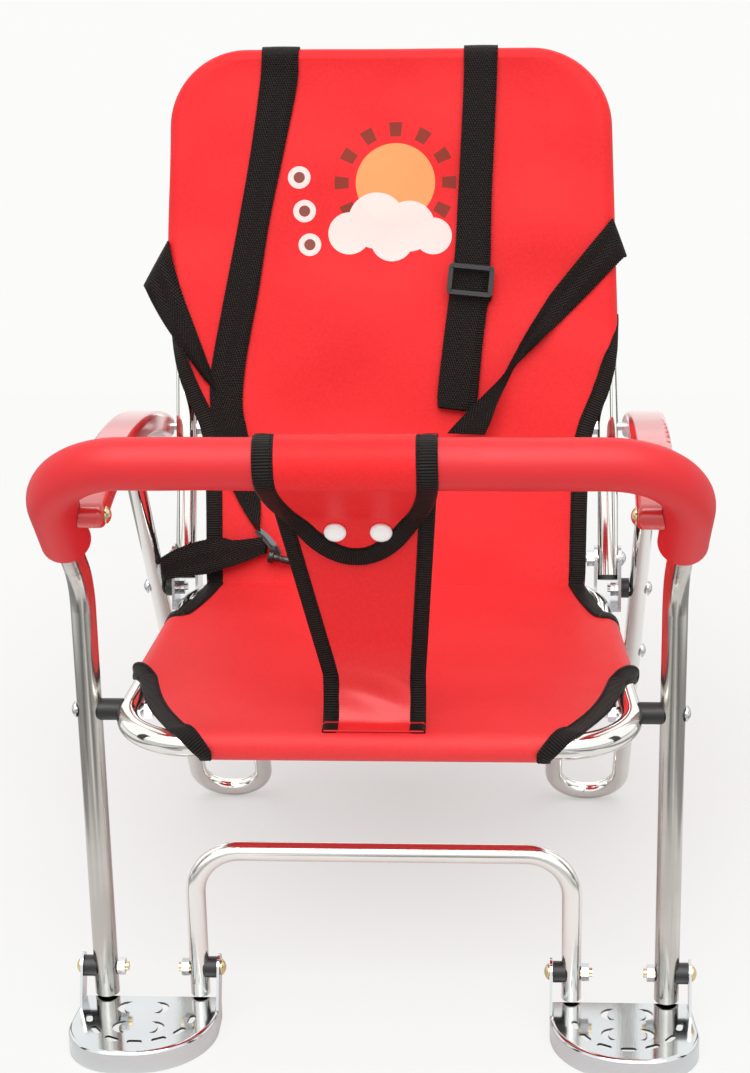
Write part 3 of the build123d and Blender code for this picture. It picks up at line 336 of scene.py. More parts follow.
def tape(name: str, line: Grid, inward: Grid, out: Grid, width: float, lift: float = 0.5,
         back: float = 1.6, ease: float = 0.0, taper: float = 0.01) -> bpy.types.Object:
    """Edge tape folded over the edge of a sheet.

    Args:
        name: Name of the new object.
        line: Points along the sheet's edge, on its outer face.
        inward: Direction from the edge into the sheet.
        out: Direction the sheet's outer face looks.
        width: Width of the tape on the outer face.
        lift: Rise of the tape over the sheet.
        back: Depth of the tape's rear half behind the outer face.
        ease: Depth of small puckers along the tape.
        taper: Length over which the tape runs out at its last end.

    Returns:
        The tape.
    """
    inward, out = unit(inward), unit(out)
    half, seam_in, seam_lift, pucker_size = width / 2, width - 1.7, lift + 0.3, 17.0
    insets, levels = np.array([
        (width, 0.05), (width - 0.4, lift), (half, lift + 0.1), (0.8, lift), (-0.5, 0.2), (-0.7, -back / 2),
        (-0.5, -back), (0.8, -back - 0.2), (half, -back - 0.2), (width * 0.9, -back + 0.1),
    ]).T
    run = arc_length(line)
    share = np.clip((run[-1] - run + 0.01) / taper, 0.1, 1)

    def surface(u: Grid, v: Grid) -> Grid:
        """Points across and along the tape."""
        c, k = np.rint(u).astype(int), np.rint(v).astype(int)
        inset = insets[c] * share[k]
        level = levels[c] + ease * ripple(run[k], insets[c] * 0.5, pucker_size, 1.3)
        return line[k] + inward[k] * inset[..., None] + out[k] * level[..., None]

    obj = patch(name, np.arange(len(insets)), np.arange(len(line)), surface)
    face_out(obj)
    thicken(obj, 0.5, 0.0)
    seam = stitching("seam", line + inward * (seam_in * share)[:, None] + out * seam_lift, out)
    obj = weld(name, [obj, seam], 0.0)
    set_smooth(obj, 50)
    return obj


def stitching(name: str, line: Grid, out: Grid, size: float = 0.42, pitch: float = 3.2) -> bpy.types.Object:
    """Row of sewn stitches along a line.

    Args:
        name: Name of the new object.
        line: Points on the cloth.
        out: Direction the cloth looks, at each point.
        size: Half thickness of the thread.
        pitch: Length of one stitch.

    Returns:
        The stitches as one mesh.
    """
    steps, sunk, turn_weight = 6, 0.03, 10
    both = even(np.hstack([line, out * turn_weight]), pitch / steps)
    line, out = both[:, :3], unit(both[:, 3:])
    side = unit(np.cross(np.gradient(line, axis=0), out))
    high = np.abs(np.sin(np.arange(len(line)) * math.pi / steps)) ** 0.5 * size + sunk

    def surface(u: Grid, v: Grid) -> Grid:
        """Points round and along the thread."""
        k = np.rint(v).astype(int)
        return line[k] + spokes(u, side[k], out[k]) * high[k][..., None]

    obj = weld(name, [patch(name, np.linspace(0, 2 * math.pi, 9), np.arange(len(line)), surface)], 0.001)
    face_out(obj)
    return obj


def spokes(turn: Grid, first: Grid, second: Grid) -> Grid:
    """Directions at a turn round an axis, from two directions square to it."""
    return first * np.cos(turn)[..., None] + second * np.sin(turn)[..., None]


def face_out(obj: bpy.types.Object) -> None:
    """Turn all faces outward."""
    pick(obj)
    bpy.ops.object.mode_set(mode="EDIT")
    bpy.ops.mesh.select_all(action="SELECT")
    bpy.ops.mesh.normals_make_consistent(inside=False)
    bpy.ops.object.mode_set(mode="OBJECT")


def set_smooth(obj: bpy.types.Object, angle: float = 40.0) -> None:
    """Shade smooth up to an angle in degrees."""
    pick(obj)
    bpy.ops.object.shade_smooth_by_angle(angle=math.radians(angle))


# Finishes


Triple = tuple[float, float, float]
Colour = Triple
Disc = Triple
Socket = bpy.types.NodeSocket


def rgba(colour: Colour, share: float = 1.0) -> tuple[float, float, float, float]:
    """Opaque shade of a colour for a socket."""
    return (*(c * share for c in colour), 1.0)


def socket_value(node: bpy.types.Node, name: str, value: object) -> None:
    """Set a constant on a node's own socket."""
    node.inputs[name].default_value = value


class Tree:
    """A node tree with short ways to add and link nodes."""

    def __init__(self, tree: bpy.types.NodeTree) -> None:
        """Wrap a tree."""
        self.tree = tree

    def add(self, kind: str, **settings: object) -> bpy.types.Node:
        """Add a node and set its properties."""
        node = self.tree.nodes.new(kind)
        for key, value in settings.items():
            setattr(node, key, value)
        return node

    def link(self, a: Socket, b: Socket) -> None:
        """Link an output to an input."""
        self.tree.links.new(a, b)

    def put(self, value: object, socket: Socket) -> None:
        """Link an output to an input, or set a constant on it."""
        if isinstance(value, Socket):
            self.link(value, socket)
        else:
            socket.default_value = value

    def math(self, operation: str, a: object, b: object = 0.0, c: object = 0.0) -> Socket:
        """Add a maths node on sockets or numbers.

        Args:
            operation: Name of the operation.
            a: First value or socket.
            b: Second value or socket.
            c: Third value or socket.

        Returns:
            The result's socket.
        """
        node = self.add("ShaderNodeMath", operation=operation)
        for socket, value in zip(node.inputs, (a, b, c)):
            self.put(value, socket)
        return node.outputs[0]

    def mix(self, factor: object, a: object, b: object) -> Socket:
        """Mix two colours by a factor."""
        node = self.add("ShaderNodeMix", data_type="RGBA")
        for socket, value in ((node.inputs["Factor"], factor), (node.inputs[6], a), (node.inputs[7], b)):
            self.put(value, socket)
        return node.outputs[2]

    def noise(self, vector: Socket, scale: float, detail: float = 3.0) -> Socket:
        """Noise value on a vector."""
        node = self.add("ShaderNodeTexNoise")
        self.link(vector, node.inputs["Vector"])
        socket_value(node, "Scale", scale)
        socket_value(node, "Detail", detail)
        return node.outputs["Fac"]

    def stretch(self, vector: Socket, scale: Triple, turn: Triple = (0.0, 0.0, 0.0)) -> Socket:
        """Vector turned and scaled by its axes."""
        node = self.add("ShaderNodeMapping")
        self.link(vector, node.inputs["Vector"])
        socket_value(node, "Rotation", turn)
        socket_value(node, "Scale", scale)
        return node.outputs["Vector"]

    def split(self, vector: Socket) -> Sequence[Socket]:
        """The three parts of a vector."""
        node = self.add("ShaderNodeSeparateXYZ")
        self.link(vector, node.inputs[0])
        return node.outputs

    def ramp(self, value: Socket, old: tuple[float, float], new: tuple[float, float]) -> Socket:
        """Value brought from one range to another and held at its ends."""
        node = self.add("ShaderNodeMapRange")
        self.link(value, node.inputs["Value"])
        for name, limit in zip(("From Min", "From Max", "To Min", "To Max"), (*old, *new)):
            socket_value(node, name, limit)
        return node.outputs["Result"]

    def bump(self, height: Socket, strength: float, distance: float, under: Socket | None = None) -> Socket:
        """Normal from a height.

        Args:
            height: Height as a share of the distance.
            strength: How much of it shows.
            distance: Height in metres.
            under: Normal that it is laid over.

        Returns:
            The normal's socket.
        """
        node = self.add("ShaderNodeBump")
        socket_value(node, "Strength", strength)
        socket_value(node, "Distance", distance)
        self.link(height, node.inputs["Height"])
        if under is not None:
            self.link(under, node.inputs["Normal"])
        return node.outputs["Normal"]

    def group(self, tree: bpy.types.NodeTree, vector: Socket) -> bpy.types.Node:
        """A shared group fed with a vector."""
        node = self.add("ShaderNodeGroup", node_tree=tree)
        self.link(vector, node.inputs["Vector"])
        return node


def new_group(name: str, outputs: Sequence[str],
              values: Sequence[str] = ()) -> tuple[Tree, bpy.types.Node, bpy.types.Node]:
    """New node group fed with a vector.

    Args:
        name: Name of the group.
        outputs: Names of the values it gives.
        values: Names of the other values it is fed with.

    Returns:
        Its tree, its input node and its output node.
    """
    group = bpy.data.node_groups.new(name, "ShaderNodeTree")
    group.interface.new_socket("Vector", in_out="INPUT", socket_type="NodeSocketVector")
    for way, names in (("INPUT", values), ("OUTPUT", outputs)):
        for socket in names:
            group.interface.new_socket(socket, in_out=way, socket_type="NodeSocketFloat")
    t = Tree(group)
    return t, t.add("NodeGroupInput"), t.add("NodeGroupOutput")


class Weave(Enum):
    """How a cloth is woven."""

    PLAIN = "plain"
    TWILL = "twill"
    RIB = "rib"


@cache
def weave_group(kind: Weave) -> bpy.types.NodeTree:
    """Node group that gives a weave's height, and a painted glint on its thread crests, from a UV map in
    metres.

    Args:
        kind: How the threads cross.

    Returns:
        The group, made once.
    """
    t, start, end = new_group(f"weave_{kind.value}", ("Height", "Shade"), ("Threads",))
    vector = start.outputs["Vector"]
    parts = t.split(vector)
    u, v = (t.math("MULTIPLY", parts[k], start.outputs["Threads"]) for k in range(2))

    def sine(value: Socket, turns: float = 1.0) -> Socket:
        """Wave over a count of threads."""
        return t.math("SINE", t.math("MULTIPLY", value, 2 * math.pi * turns))

    thread = sine(v)
    if kind is Weave.PLAIN:
        wave = t.math("MULTIPLY", sine(u), thread)
    elif kind is Weave.TWILL:
        slope, chevron, selvedge = 0.45, 4.0, 0.0113
        wave = sine(t.math("MULTIPLY_ADD", v, slope, t.math("PINGPONG", u, chevron)))
        wave = t.math("MULTIPLY_ADD", thread, 0.4, wave)
        edge = t.math("GREATER_THAN", t.math("ABSOLUTE", parts[0]), selvedge)
        wave = t.math("MULTIPLY_ADD", edge, thread, wave)
    else:
        wave = t.math("MULTIPLY_ADD", sine(u, 1.5), 0.3, thread)
    height = t.math("MULTIPLY_ADD", wave, 0.5, 0.5)
    # Painted glint and shade: the crests get a steep, speckled share of a lighter colour, as if lit, and the
    # hollows between threads keep the darker colour, as if shaded.
    crest = t.math("POWER", t.math("MAXIMUM", height, 0.0), 3.0)
    glint_specks = t.math("MULTIPLY_ADD", t.noise(vector, 900.0, 2.0), 1.6, 0.2)
    t.link(height, end.inputs["Height"])
    t.link(t.math("MULTIPLY", crest, glint_specks), end.inputs["Shade"])
    return t.tree


@cache
def handling_group() -> bpy.types.NodeTree:
    """Node group that gives smudges, fine scratches and a drawn tube's streaks, made once."""
    t, start, end = new_group("handling", ("Smudge", "Scratch", "Streak"))
    vector = start.outputs["Vector"]
    scratch = t.stretch(vector, (900.0, 60.0, 60.0), (0.4, 0.7, 0.3))
    streak = t.stretch(vector, (330.0, 330.0, 9.0))
    t.link(t.noise(vector, 22.0, 4.0), end.inputs["Smudge"])
    t.link(t.noise(scratch, 1.0, 2.0), end.inputs["Scratch"])
    t.link(t.noise(streak, 1.0, 3.0), end.inputs["Streak"])
    return t.tree


@dataclass(frozen=True)
class SunPrint:
    """Sun behind a cloud with three dots beside it; discs are places from the print's middle and radii."""

    middle_x: float = -6.0
    middle_t: float = 262.0
    face: float = 2.0
    sun: Disc = (4.0, 14.0, 28.0)
    rays: tuple[float, float] = (33.0, 43.0)
    ray_count: float = 12.0
    ray_gap: float = 0.25
    cloud: tuple[Disc, ...] = (
        (-28.0, -22.0, 15.0), (-9.0, -13.0, 20.0), (14.0, -17.0, 18.0), (31.0, -24.0, 13.0),
        (2.0, -27.0, 15.0))
    dots: tuple[Disc, ...] = ((-64.0, 18.0, 8.0), (-60.0, -6.0, 8.0), (-56.0, -30.0, 8.0))
    dot_core: float = 4.0

    def group(self) -> bpy.types.NodeTree:
        """Node group with the masks of the print."""
        t, start, end = new_group("sun_and_cloud", ("Rays", "Sun", "Cloud", "Dots"))
        middle = LAY.back(np.array(self.middle_x), np.array(self.middle_t), np.array(0.0)) * MM
        parts = t.split(start.outputs["Vector"])
        x, y, z = (t.math("MULTIPLY", t.math("SUBTRACT", part, float(m)), 1 / MM)
                   for part, m in zip(parts, middle))

        def along(way: Grid) -> Socket:
            """Place along one of the back's own axes."""
            return t.math("ADD", t.math("MULTIPLY", y, float(way[1])), t.math("MULTIPLY", z, float(way[2])))

        up, front = along(BACK_UP), t.math("GREATER_THAN", along(BACK_OUT), self.face)

        def offset(disc: Disc) -> tuple[Socket, Socket]:
            """Places across and up from a disc's middle."""
            return t.math("SUBTRACT", x, disc[0]), t.math("SUBTRACT", up, disc[1])

        def reach(disc: Disc) -> Socket:
            """Distance from a disc's middle."""
            dx, dy = offset(disc)
            return t.math("SQRT", t.math("ADD", t.math("MULTIPLY", dx, dx), t.math("MULTIPLY", dy, dy)))

        def cover(discs: Sequence[Disc]) -> Socket:
            """Mask that covers all given discs on the front."""
            masks = [t.math("MULTIPLY", t.math("LESS_THAN", reach(disc), disc[2]), front) for disc in discs]
            return reduce(lambda a, b: t.math("MAXIMUM", a, b), masks)

        far, (dx, dy) = reach(self.sun), offset(self.sun)
        turn = t.math("MULTIPLY", t.math("ARCTAN2", dy, dx), self.ray_count)
        spoke = t.math("GREATER_THAN", t.math("COSINE", turn), self.ray_gap)
        inner, outer = self.rays
        ring = t.math("MULTIPLY", t.math("GREATER_THAN", far, inner), t.math("LESS_THAN", far, outer))
        t.link(t.math("MULTIPLY", t.math("MULTIPLY", ring, spoke), front), end.inputs["Rays"])
        t.link(cover([self.sun]), end.inputs["Sun"])
        t.link(cover(self.cloud + self.dots), end.inputs["Cloud"])
        t.link(cover([(cx, cy, self.dot_core) for cx, cy, _ in self.dots]), end.inputs["Dots"])
        return t.tree


@dataclass(frozen=True)
class Finish:
    """Look shared by all pieces that have it."""

    name: str
    colour: Colour

    def make(self) -> bpy.types.Material:
        """Build the material, or return the one already built."""
        if self.name in bpy.data.materials:
            return bpy.data.materials[self.name]
        material = bpy.data.materials.new(self.name)
        material.use_nodes = True
        t = Tree(material.node_tree)
        self.fill(t, t.add("ShaderNodeTexCoord").outputs, material.node_tree.nodes["Principled BSDF"])
        return material

    def fill(self, t: Tree, place: bpy.types.NodeOutputs, shader: bpy.types.Node) -> None:
        """Set the shader up, here with the plain colour.

        Args:
            t: The material's tree.
            place: Coordinates on the piece.
            shader: The material's shader.
        """
        socket_value(shader, "Base Color", rgba(self.colour))


@dataclass(frozen=True)
class ClothFinish(Finish):
    """Woven cloth, tape or webbing, which can shine more low down, where it lies on the seat."""

    # Lighter colour painted on the thread crests as a glint
    thread: Colour
    kind: Weave
    threads: float
    relief: float
    depth: float
    roughness: float
    sheen: float
    specular: float
    slack: float = 0.0
    shine: float = 0.0
    drape: float = 0.0
    shine_rise: tuple[float, float] = (0.25, 0.285)

    def fill(self, t: Tree, place: bpy.types.NodeOutputs, shader: bpy.types.Node) -> None:
        """Weave with a painted glint on its thread crests, uneven wear, soft waves and shine."""
        spot = place["Object"]
        weave = t.group(weave_group(self.kind), place["UV"])
        socket_value(weave, "Threads", self.threads)
        fade = t.noise(spot, 9.0)
        # Painted glint: the weave's mask lays the lighter crest colour over the cloth's own colour.
        tone = t.math("MULTIPLY", weave.outputs["Shade"], self.depth)
        colour = t.mix(tone, rgba(self.colour), rgba(self.thread))
        grain = t.math("MULTIPLY_ADD", t.noise(spot, 520.0, 2.0), 0.7, -0.25)
        worn = t.mix(t.math("MULTIPLY_ADD", fade, 0.4, grain), colour, rgba(self.colour, 0.72))
        t.link(self.decorate(t, spot, worn), shader.inputs["Base Color"])
        t.link(t.math("MULTIPLY_ADD", fade, 0.16, self.roughness - 0.08), shader.inputs["Roughness"])
        normal = t.bump(weave.outputs["Height"], self.relief, 0.0004)
        normal = t.bump(t.noise(spot, 26.0, 2.0), self.slack, 0.004, normal)
        normal = t.bump(t.noise(spot, 8.5, 1.0), self.drape, 0.02, normal)
        t.link(normal, shader.inputs["Normal"])
        socket_value(shader, "Sheen Weight", self.sheen)
        socket_value(shader, "Sheen Roughness", 0.4)
        gloss = t.ramp(t.split(spot)[2], self.shine_rise, (self.specular + self.shine, self.specular))
        t.link(gloss, shader.inputs["Specular IOR Level"])

    def decorate(self, t: Tree, spot: Socket, colour: Socket) -> Socket:
        """Colour of the cloth with what is printed on it, here nothing."""
        return colour


@dataclass(frozen=True)
class PrintedCloth(ClothFinish):
    """Cloth with a small print on the front of the back."""

    motif: SunPrint = SunPrint()
    ink: float = 0.94
    white: Colour = (0.84, 0.74, 0.7)
    tan: Colour = (0.8, 0.36, 0.13)
    brown: Colour = (0.22, 0.035, 0.02)

    def decorate(self, t: Tree, spot: Socket, colour: Socket) -> Socket:
        """Lay the print's inks over the cloth."""
        masks = t.group(self.motif.group(), spot).outputs
        inks = {"Rays": self.brown, "Sun": self.tan, "Cloud": self.white, "Dots": self.brown}
        for mask, ink in inks.items():
            colour = t.mix(t.math("MULTIPLY", masks[mask], self.ink), colour, rgba(ink))
        return colour


@dataclass(frozen=True)
class MetalFinish(Finish):
    """Plated metal with handling marks."""

    roughness: float
    smear: float
    relief: float = 0.02
    streak: float = 0.0
    dull: float = 0.86

    def fill(self, t: Tree, place: bpy.types.NodeOutputs, shader: bpy.types.Node) -> None:
        """Smudges, streaks and fine scratches on metal."""
        marks = t.group(handling_group(), place["Object"]).outputs
        rough = t.math("MULTIPLY_ADD", marks["Smudge"], self.smear, self.roughness - self.smear / 2)
        t.link(rough, shader.inputs["Roughness"])
        tone = t.math("MULTIPLY_ADD", marks["Streak"], self.streak, marks["Smudge"])
        t.link(t.mix(tone, rgba(self.colour), rgba(self.colour, self.dull)), shader.inputs["Base Color"])
        t.link(t.bump(marks["Scratch"], self.relief, 0.0003), shader.inputs["Normal"])
        socket_value(shader, "Metallic", 1.0)


@dataclass(frozen=True)
class MouldedFinish(Finish):
    """Moulded plastic or foam with a fine grain."""

    roughness: float
    grain: float
    relief: float
    coat: float = 0.0

    def fill(self, t: Tree, place: bpy.types.NodeOutputs, shader: bpy.types.Node) -> None:
        """Smudges, grain and a clear skin."""
        smudge = t.group(handling_group(), place["Object"]).outputs["Smudge"]
        blend = t.math("MULTIPLY", smudge, 0.5)
        t.link(t.mix(blend, rgba(self.colour), rgba(self.colour, 0.78)), shader.inputs["Base Color"])
        t.link(t.math("MULTIPLY_ADD", smudge, 0.14, self.roughness - 0.07), shader.inputs["Roughness"])
        t.link(t.bump(t.noise(place["Object"], self.grain), self.relief, 0.0005), shader.inputs["Normal"])
        socket_value(shader, "Coat Weight", self.coat)
        socket_value(shader, "Coat Roughness", 0.12)


# Each cloth's second colour is a painted glint laid on its thread crests.
RED, RED_CREST_GLINT = (0.84, 0.022, 0.025), (0.98, 0.045, 0.05)
BLACK = (0.0015, 0.0012, 0.001)
RED_CLOTH = ClothFinish(
    "coated_red_cloth", RED, RED_CREST_GLINT, Weave.PLAIN, threads=900.0, relief=0.3, depth=0.8, roughness=0.48,
    sheen=0.03, specular=0.16, slack=0.25, shine=0.3, drape=0.6)
PRINTED_CLOTH = PrintedCloth(
    "printed_red_cloth", RED, RED_CREST_GLINT, Weave.PLAIN, threads=900.0, relief=0.3, depth=0.8, roughness=0.48,
    sheen=0.03, specular=0.16, slack=0.25, drape=1.0)
RED_STRAP = ClothFinish(
    "coated_red_strap", RED, RED_CREST_GLINT, Weave.PLAIN, threads=900.0, relief=0.3, depth=0.8, roughness=0.26,
    sheen=0.0, specular=0.13, slack=0.25, shine=0.55)
BLACK_TAPE = ClothFinish(
    "ribbed_tape", BLACK, (0.05, 0.036, 0.03), Weave.RIB, threads=600.0, relief=1.0, depth=0.8,
    roughness=0.42, sheen=0.0, specular=0.14)
BLACK_WEB = ClothFinish(
    "twill_webbing", BLACK, (0.05, 0.034, 0.028), Weave.TWILL, threads=600.0, relief=1.0, depth=0.8,
    roughness=0.45, sheen=0.0, specular=0.12)
CHROME = MetalFinish("chrome", (0.85, 0.845, 0.81), roughness=0.07, smear=0.05)
SOFT_CHROME = MetalFinish("soft_chrome", (0.93, 0.92, 0.88), roughness=0.17, smear=0.05)
DRAWN_CHROME = MetalFinish(
    "drawn_chrome", (0.88, 0.86, 0.8), roughness=0.2, smear=0.08, relief=0.03, streak=0.9, dull=0.6)
ZINC = MetalFinish("pressed_zinc", (0.66, 0.68, 0.69), roughness=0.1, smear=0.06, relief=0.03)
BRIGHT_ZINC = MetalFinish("bright_zinc", (0.7, 0.71, 0.72), roughness=0.22, smear=0.14, relief=0.06)
YELLOW_ZINC = MetalFinish("passivated_zinc", (0.75, 0.62, 0.36), roughness=0.24, smear=0.14, relief=0.06)
RED_FOAM = MouldedFinish("skinned_foam", (0.72, 0.014, 0.02), roughness=0.5, grain=700.0, relief=0.2)
RED_PLASTIC = MouldedFinish(
    "arm_plastic", (0.66, 0.03, 0.03), roughness=0.25, grain=260.0, relief=0.04, coat=1.0)
SLIDER_PLASTIC = MouldedFinish(
    "slider_plastic", (0.009, 0.009, 0.0095), roughness=0.55, grain=500.0, relief=0.25)
GLOSS_PLASTIC = MouldedFinish(
    "gloss_plastic", (0.012, 0.012, 0.012), roughness=0.22, grain=380.0, relief=0.05, coat=0.4)
BLACK_PLASTIC = MouldedFinish(
    "moulded_black", (0.012, 0.012, 0.012), roughness=0.42, grain=380.0, relief=0.2, coat=0.1)
WHITE_PLASTIC = MouldedFinish(
    "cap_plastic", (0.95, 0.94, 0.92), roughness=0.35, grain=300.0, relief=0.05, coat=0.2)


def dress(obj: bpy.types.Object, finish: Finish, body: str = "frame") -> None:
    """Give a new piece its finish and the body it rides on.

    Args:
        obj: Finished piece.
        finish: Its look.
        body: Rigid body it moves with.
    """
    obj.data.materials.clear()
    obj.data.materials.append(finish.make())
    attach(obj, body)
    LOG.info("%s: %d faces", obj.name, len(obj.data.polygons))


class FrameFinishes:
    """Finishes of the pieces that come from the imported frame."""

    SLOTS = {
        "chrome_tube": CHROME,
        "zinc_plate": ZINC,
        "zinc_steel": BRIGHT_ZINC,
        "yellow_zinc": YELLOW_ZINC,
        "red_foam": RED_FOAM,
        "red_plastic": RED_PLASTIC,
        "red_cloth": RED_CLOTH,
        "black_tape": BLACK_TAPE,
        "black_webbing": BLACK_WEB,
        "black_plastic": BLACK_PLASTIC,
        "white_plastic": WHITE_PLASTIC,
    }

    NODES = {
        "guard_frame": DRAWN_CHROME,
        "bridge_bar": SOFT_CHROME,
        **dict.fromkeys(("leg_bolts", "strut_bolts", "cross_bolts", "hinge_bolts", "arm_bolts"), BRIGHT_ZINC),
    }

    def dress(self) -> None:
        """Give each node its own finish, or the finish of its slot."""
        slots = {s["node"]: s["material_slot"] for s in frame["record"]["subparts"]}
        for name, node in frame["nodes"].items():
            node.data.materials.clear()
            node.data.materials.append(self.NODES.get(name, self.SLOTS[slots[name]]).make())
            LOG.info("node %s: %s", name, slots[name])


# Sling


@dataclass
class BackCover:
    """Sewn cover pulled over the back frame, with its lower sides cut away."""

    foot_t: float = -8.4
    edge_t: float = 175.0
    rear_t: float = 112.0
    sag: float = 4.0
    ridge: float = 15.0
    foot_ease: float = 60.0
    wave: float = 1.1
    wave_size: float = 150.0
    pucker_size: float = 52.0
    pucker_below: float = 24.0
    pucker_spread: float = 20.0
    rear_sag: float = 1.5
    rear_ease: float = 90.0
    loose: float = 3.5
    loose_t: float = 225.0
    loose_spread: float = 60.0
    loose_x: float = 100.0
    loose_run: float = 50.0
    cloth: float = 1.0

    # Heights and half widths of the cut sides
    CUT = ((-10.0, 131.0), (40.0, 132.0), (75.0, 133.0), (92.0, 134.3), (104.0, 137.5), (115.0, 142.2),
           (124.0, 146.4), (134.0, 150.0), (146.0, 153.0), (160.0, 155.2))
    # Columns past this are distances from an edge, and the others are shares of the width
    RIM = 1000.0

    def half_width(self, t: Grid) -> Grid:
        """Half width of the cover at a height along the back."""
        out, bend = LAY.back_out, LAY.back_bend
        side = np.interp(t, *zip(*self.CUT, (self.edge_t, LAY.back_x + out)))
        high = np.clip(t - (LAY.back_len - bend), 0, bend + out)
        return np.minimum(side, LAY.back_x - bend + np.sqrt((bend + out) ** 2 - high**2))

    def inside(self, x: Grid, t: Grid) -> Grid:
        """Distance in from the frame's axis, negative outside it."""
        bend = LAY.back_bend
        dx, dt = np.abs(x) - (LAY.back_x - bend), t - (LAY.back_len - bend)
        corner = bend - np.hypot(np.maximum(dx, 0), np.maximum(dt, 0))
        return np.where((dx > 0) & (dt > 0), corner, np.minimum(LAY.back_x - np.abs(x), LAY.back_len - t))

    def inner(self, x: Grid, t: Grid) -> Grid:
        """Share of a wave's height, from none at the edges to all in the middle."""
        return np.clip(1 - (x / self.half_width(t)) ** 2, 0, 1)

    def level(self, x: Grid, t: Grid) -> Grid:
        """Height of the pulled cloth over the frame's plane, before it sags."""
        return np.sqrt(LAY.back_out**2 - np.clip(-self.inside(x, t), 0, LAY.back_out) ** 2)

    def front(self, x: Grid, t: Grid) -> Grid:
        """Height of the front face: a ridge over the tubes, a soft hollow between them and puckers."""
        low = np.clip((t - self.foot_t) / self.foot_ease, 0, 1)
        dip = self.sag * (1 - np.exp(-np.maximum(self.inside(x, t), 0) / self.ridge))
        top = np.exp(-(((LAY.back_len - self.pucker_below - t) / self.pucker_spread) ** 2))
        wave = self.wave * ripple(x, t * 0.5, self.wave_size, 0.7)
        pucker = self.wave * top * ripple(x, t * 0.3, self.pucker_size, 2.1)
        return self.level(x, t) - dip * low + (wave + pucker) * self.inner(x, t) * low

    def place(self, x: Grid, t: Grid, out: Grid) -> Grid:
        """Points on the back as it stands, loose over the left tube."""
        share = np.clip((-x - self.loose_x) / self.loose_run, 0, 1)
        loose = self.loose * np.exp(-(((t - self.loose_t) / self.loose_spread) ** 2)) * share
        return LAY.back(x + LAY.rack(t) - loose, t, out)

    def columns(self) -> Grid:
        """Column places: fine round the tubes, even between them."""
        edge = LAY.back_out * (1 - np.sin(np.linspace(math.pi / 2, 0, 8)))
        return np.concatenate([-self.RIM + edge, np.linspace(-1, 1, 41)[1:-1], self.RIM - edge[::-1]])

    def across(self, u: Grid, w: Grid) -> Grid:
        """Place across for a column, where the cover is w wide to each side."""
        left, right = -w + (u + self.RIM), w - (self.RIM - u)
        between = u * (w - LAY.back_out)
        return np.where(u < -self.RIM / 2, left, np.where(u > self.RIM / 2, right, between))

    def rows(self) -> Grid:
        """Row places: even up the back, fine over the top tube."""
        straight = LAY.back_len - LAY.back_bend
        low = np.linspace(self.foot_t, self.edge_t, 34)
        mid = np.linspace(self.edge_t, straight, 26)[1:]
        bend = straight + LAY.back_bend * np.sin(np.linspace(0, math.pi / 2, 16))[1:]
        over = LAY.back_len + LAY.back_out * np.sin(np.linspace(0, math.pi / 2, 9))[1:]
        return np.concatenate([low, mid, bend, over])

    def tube(self) -> bpy.types.Object:
        """Back frame as it stands, from a copy of its node's mesh."""
        deselect()
        obj = bpy.data.objects.new("back_tube", frame["nodes"]["back_frame"].data.copy())
        bpy.context.scene.collection.objects.link(obj)
        obj = weld("back_tube", [obj], 0.001)
        foot = LAY.back(np.array(0.0), np.array(0.0), np.array(0.0))
        for vert in obj.data.vertices:
            vert.co.x += float(LAY.rack((np.array(vert.co) / MM - foot) @ BACK_UP)) * MM
        set_smooth(obj, 35)
        dress(obj, CHROME)
        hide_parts("back_frame")
        return obj

    def build(self) -> bpy.types.Object:
        """Make the cover from its front and rear sheets."""
        tube = self.tube()
        cols, rows = self.columns(), self.rows()

        def front(u: Grid, v: Grid) -> Grid:
            """Front sheet."""
            x = self.across(u, self.half_width(v))
            return self.place(x, v, self.front(x, v))

        def rear(u: Grid, v: Grid) -> Grid:
            """Rear sheet."""
            x = self.across(-u, self.half_width(v))
            ease = np.clip((LAY.back_len - v) / self.rear_ease, 0, 1)
            return self.place(x, v, -self.level(x, v) + self.rear_sag * self.inner(x, v) * ease)

        sheets = [patch("front", cols, rows, front), patch("rear", cols, rows[rows > self.rear_t], rear)]
        obj = weld("back_sling", sheets)
        thicken(obj, self.cloth)
        dress(obj, PRINTED_CLOTH)
        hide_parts("back_cover")
        return obj


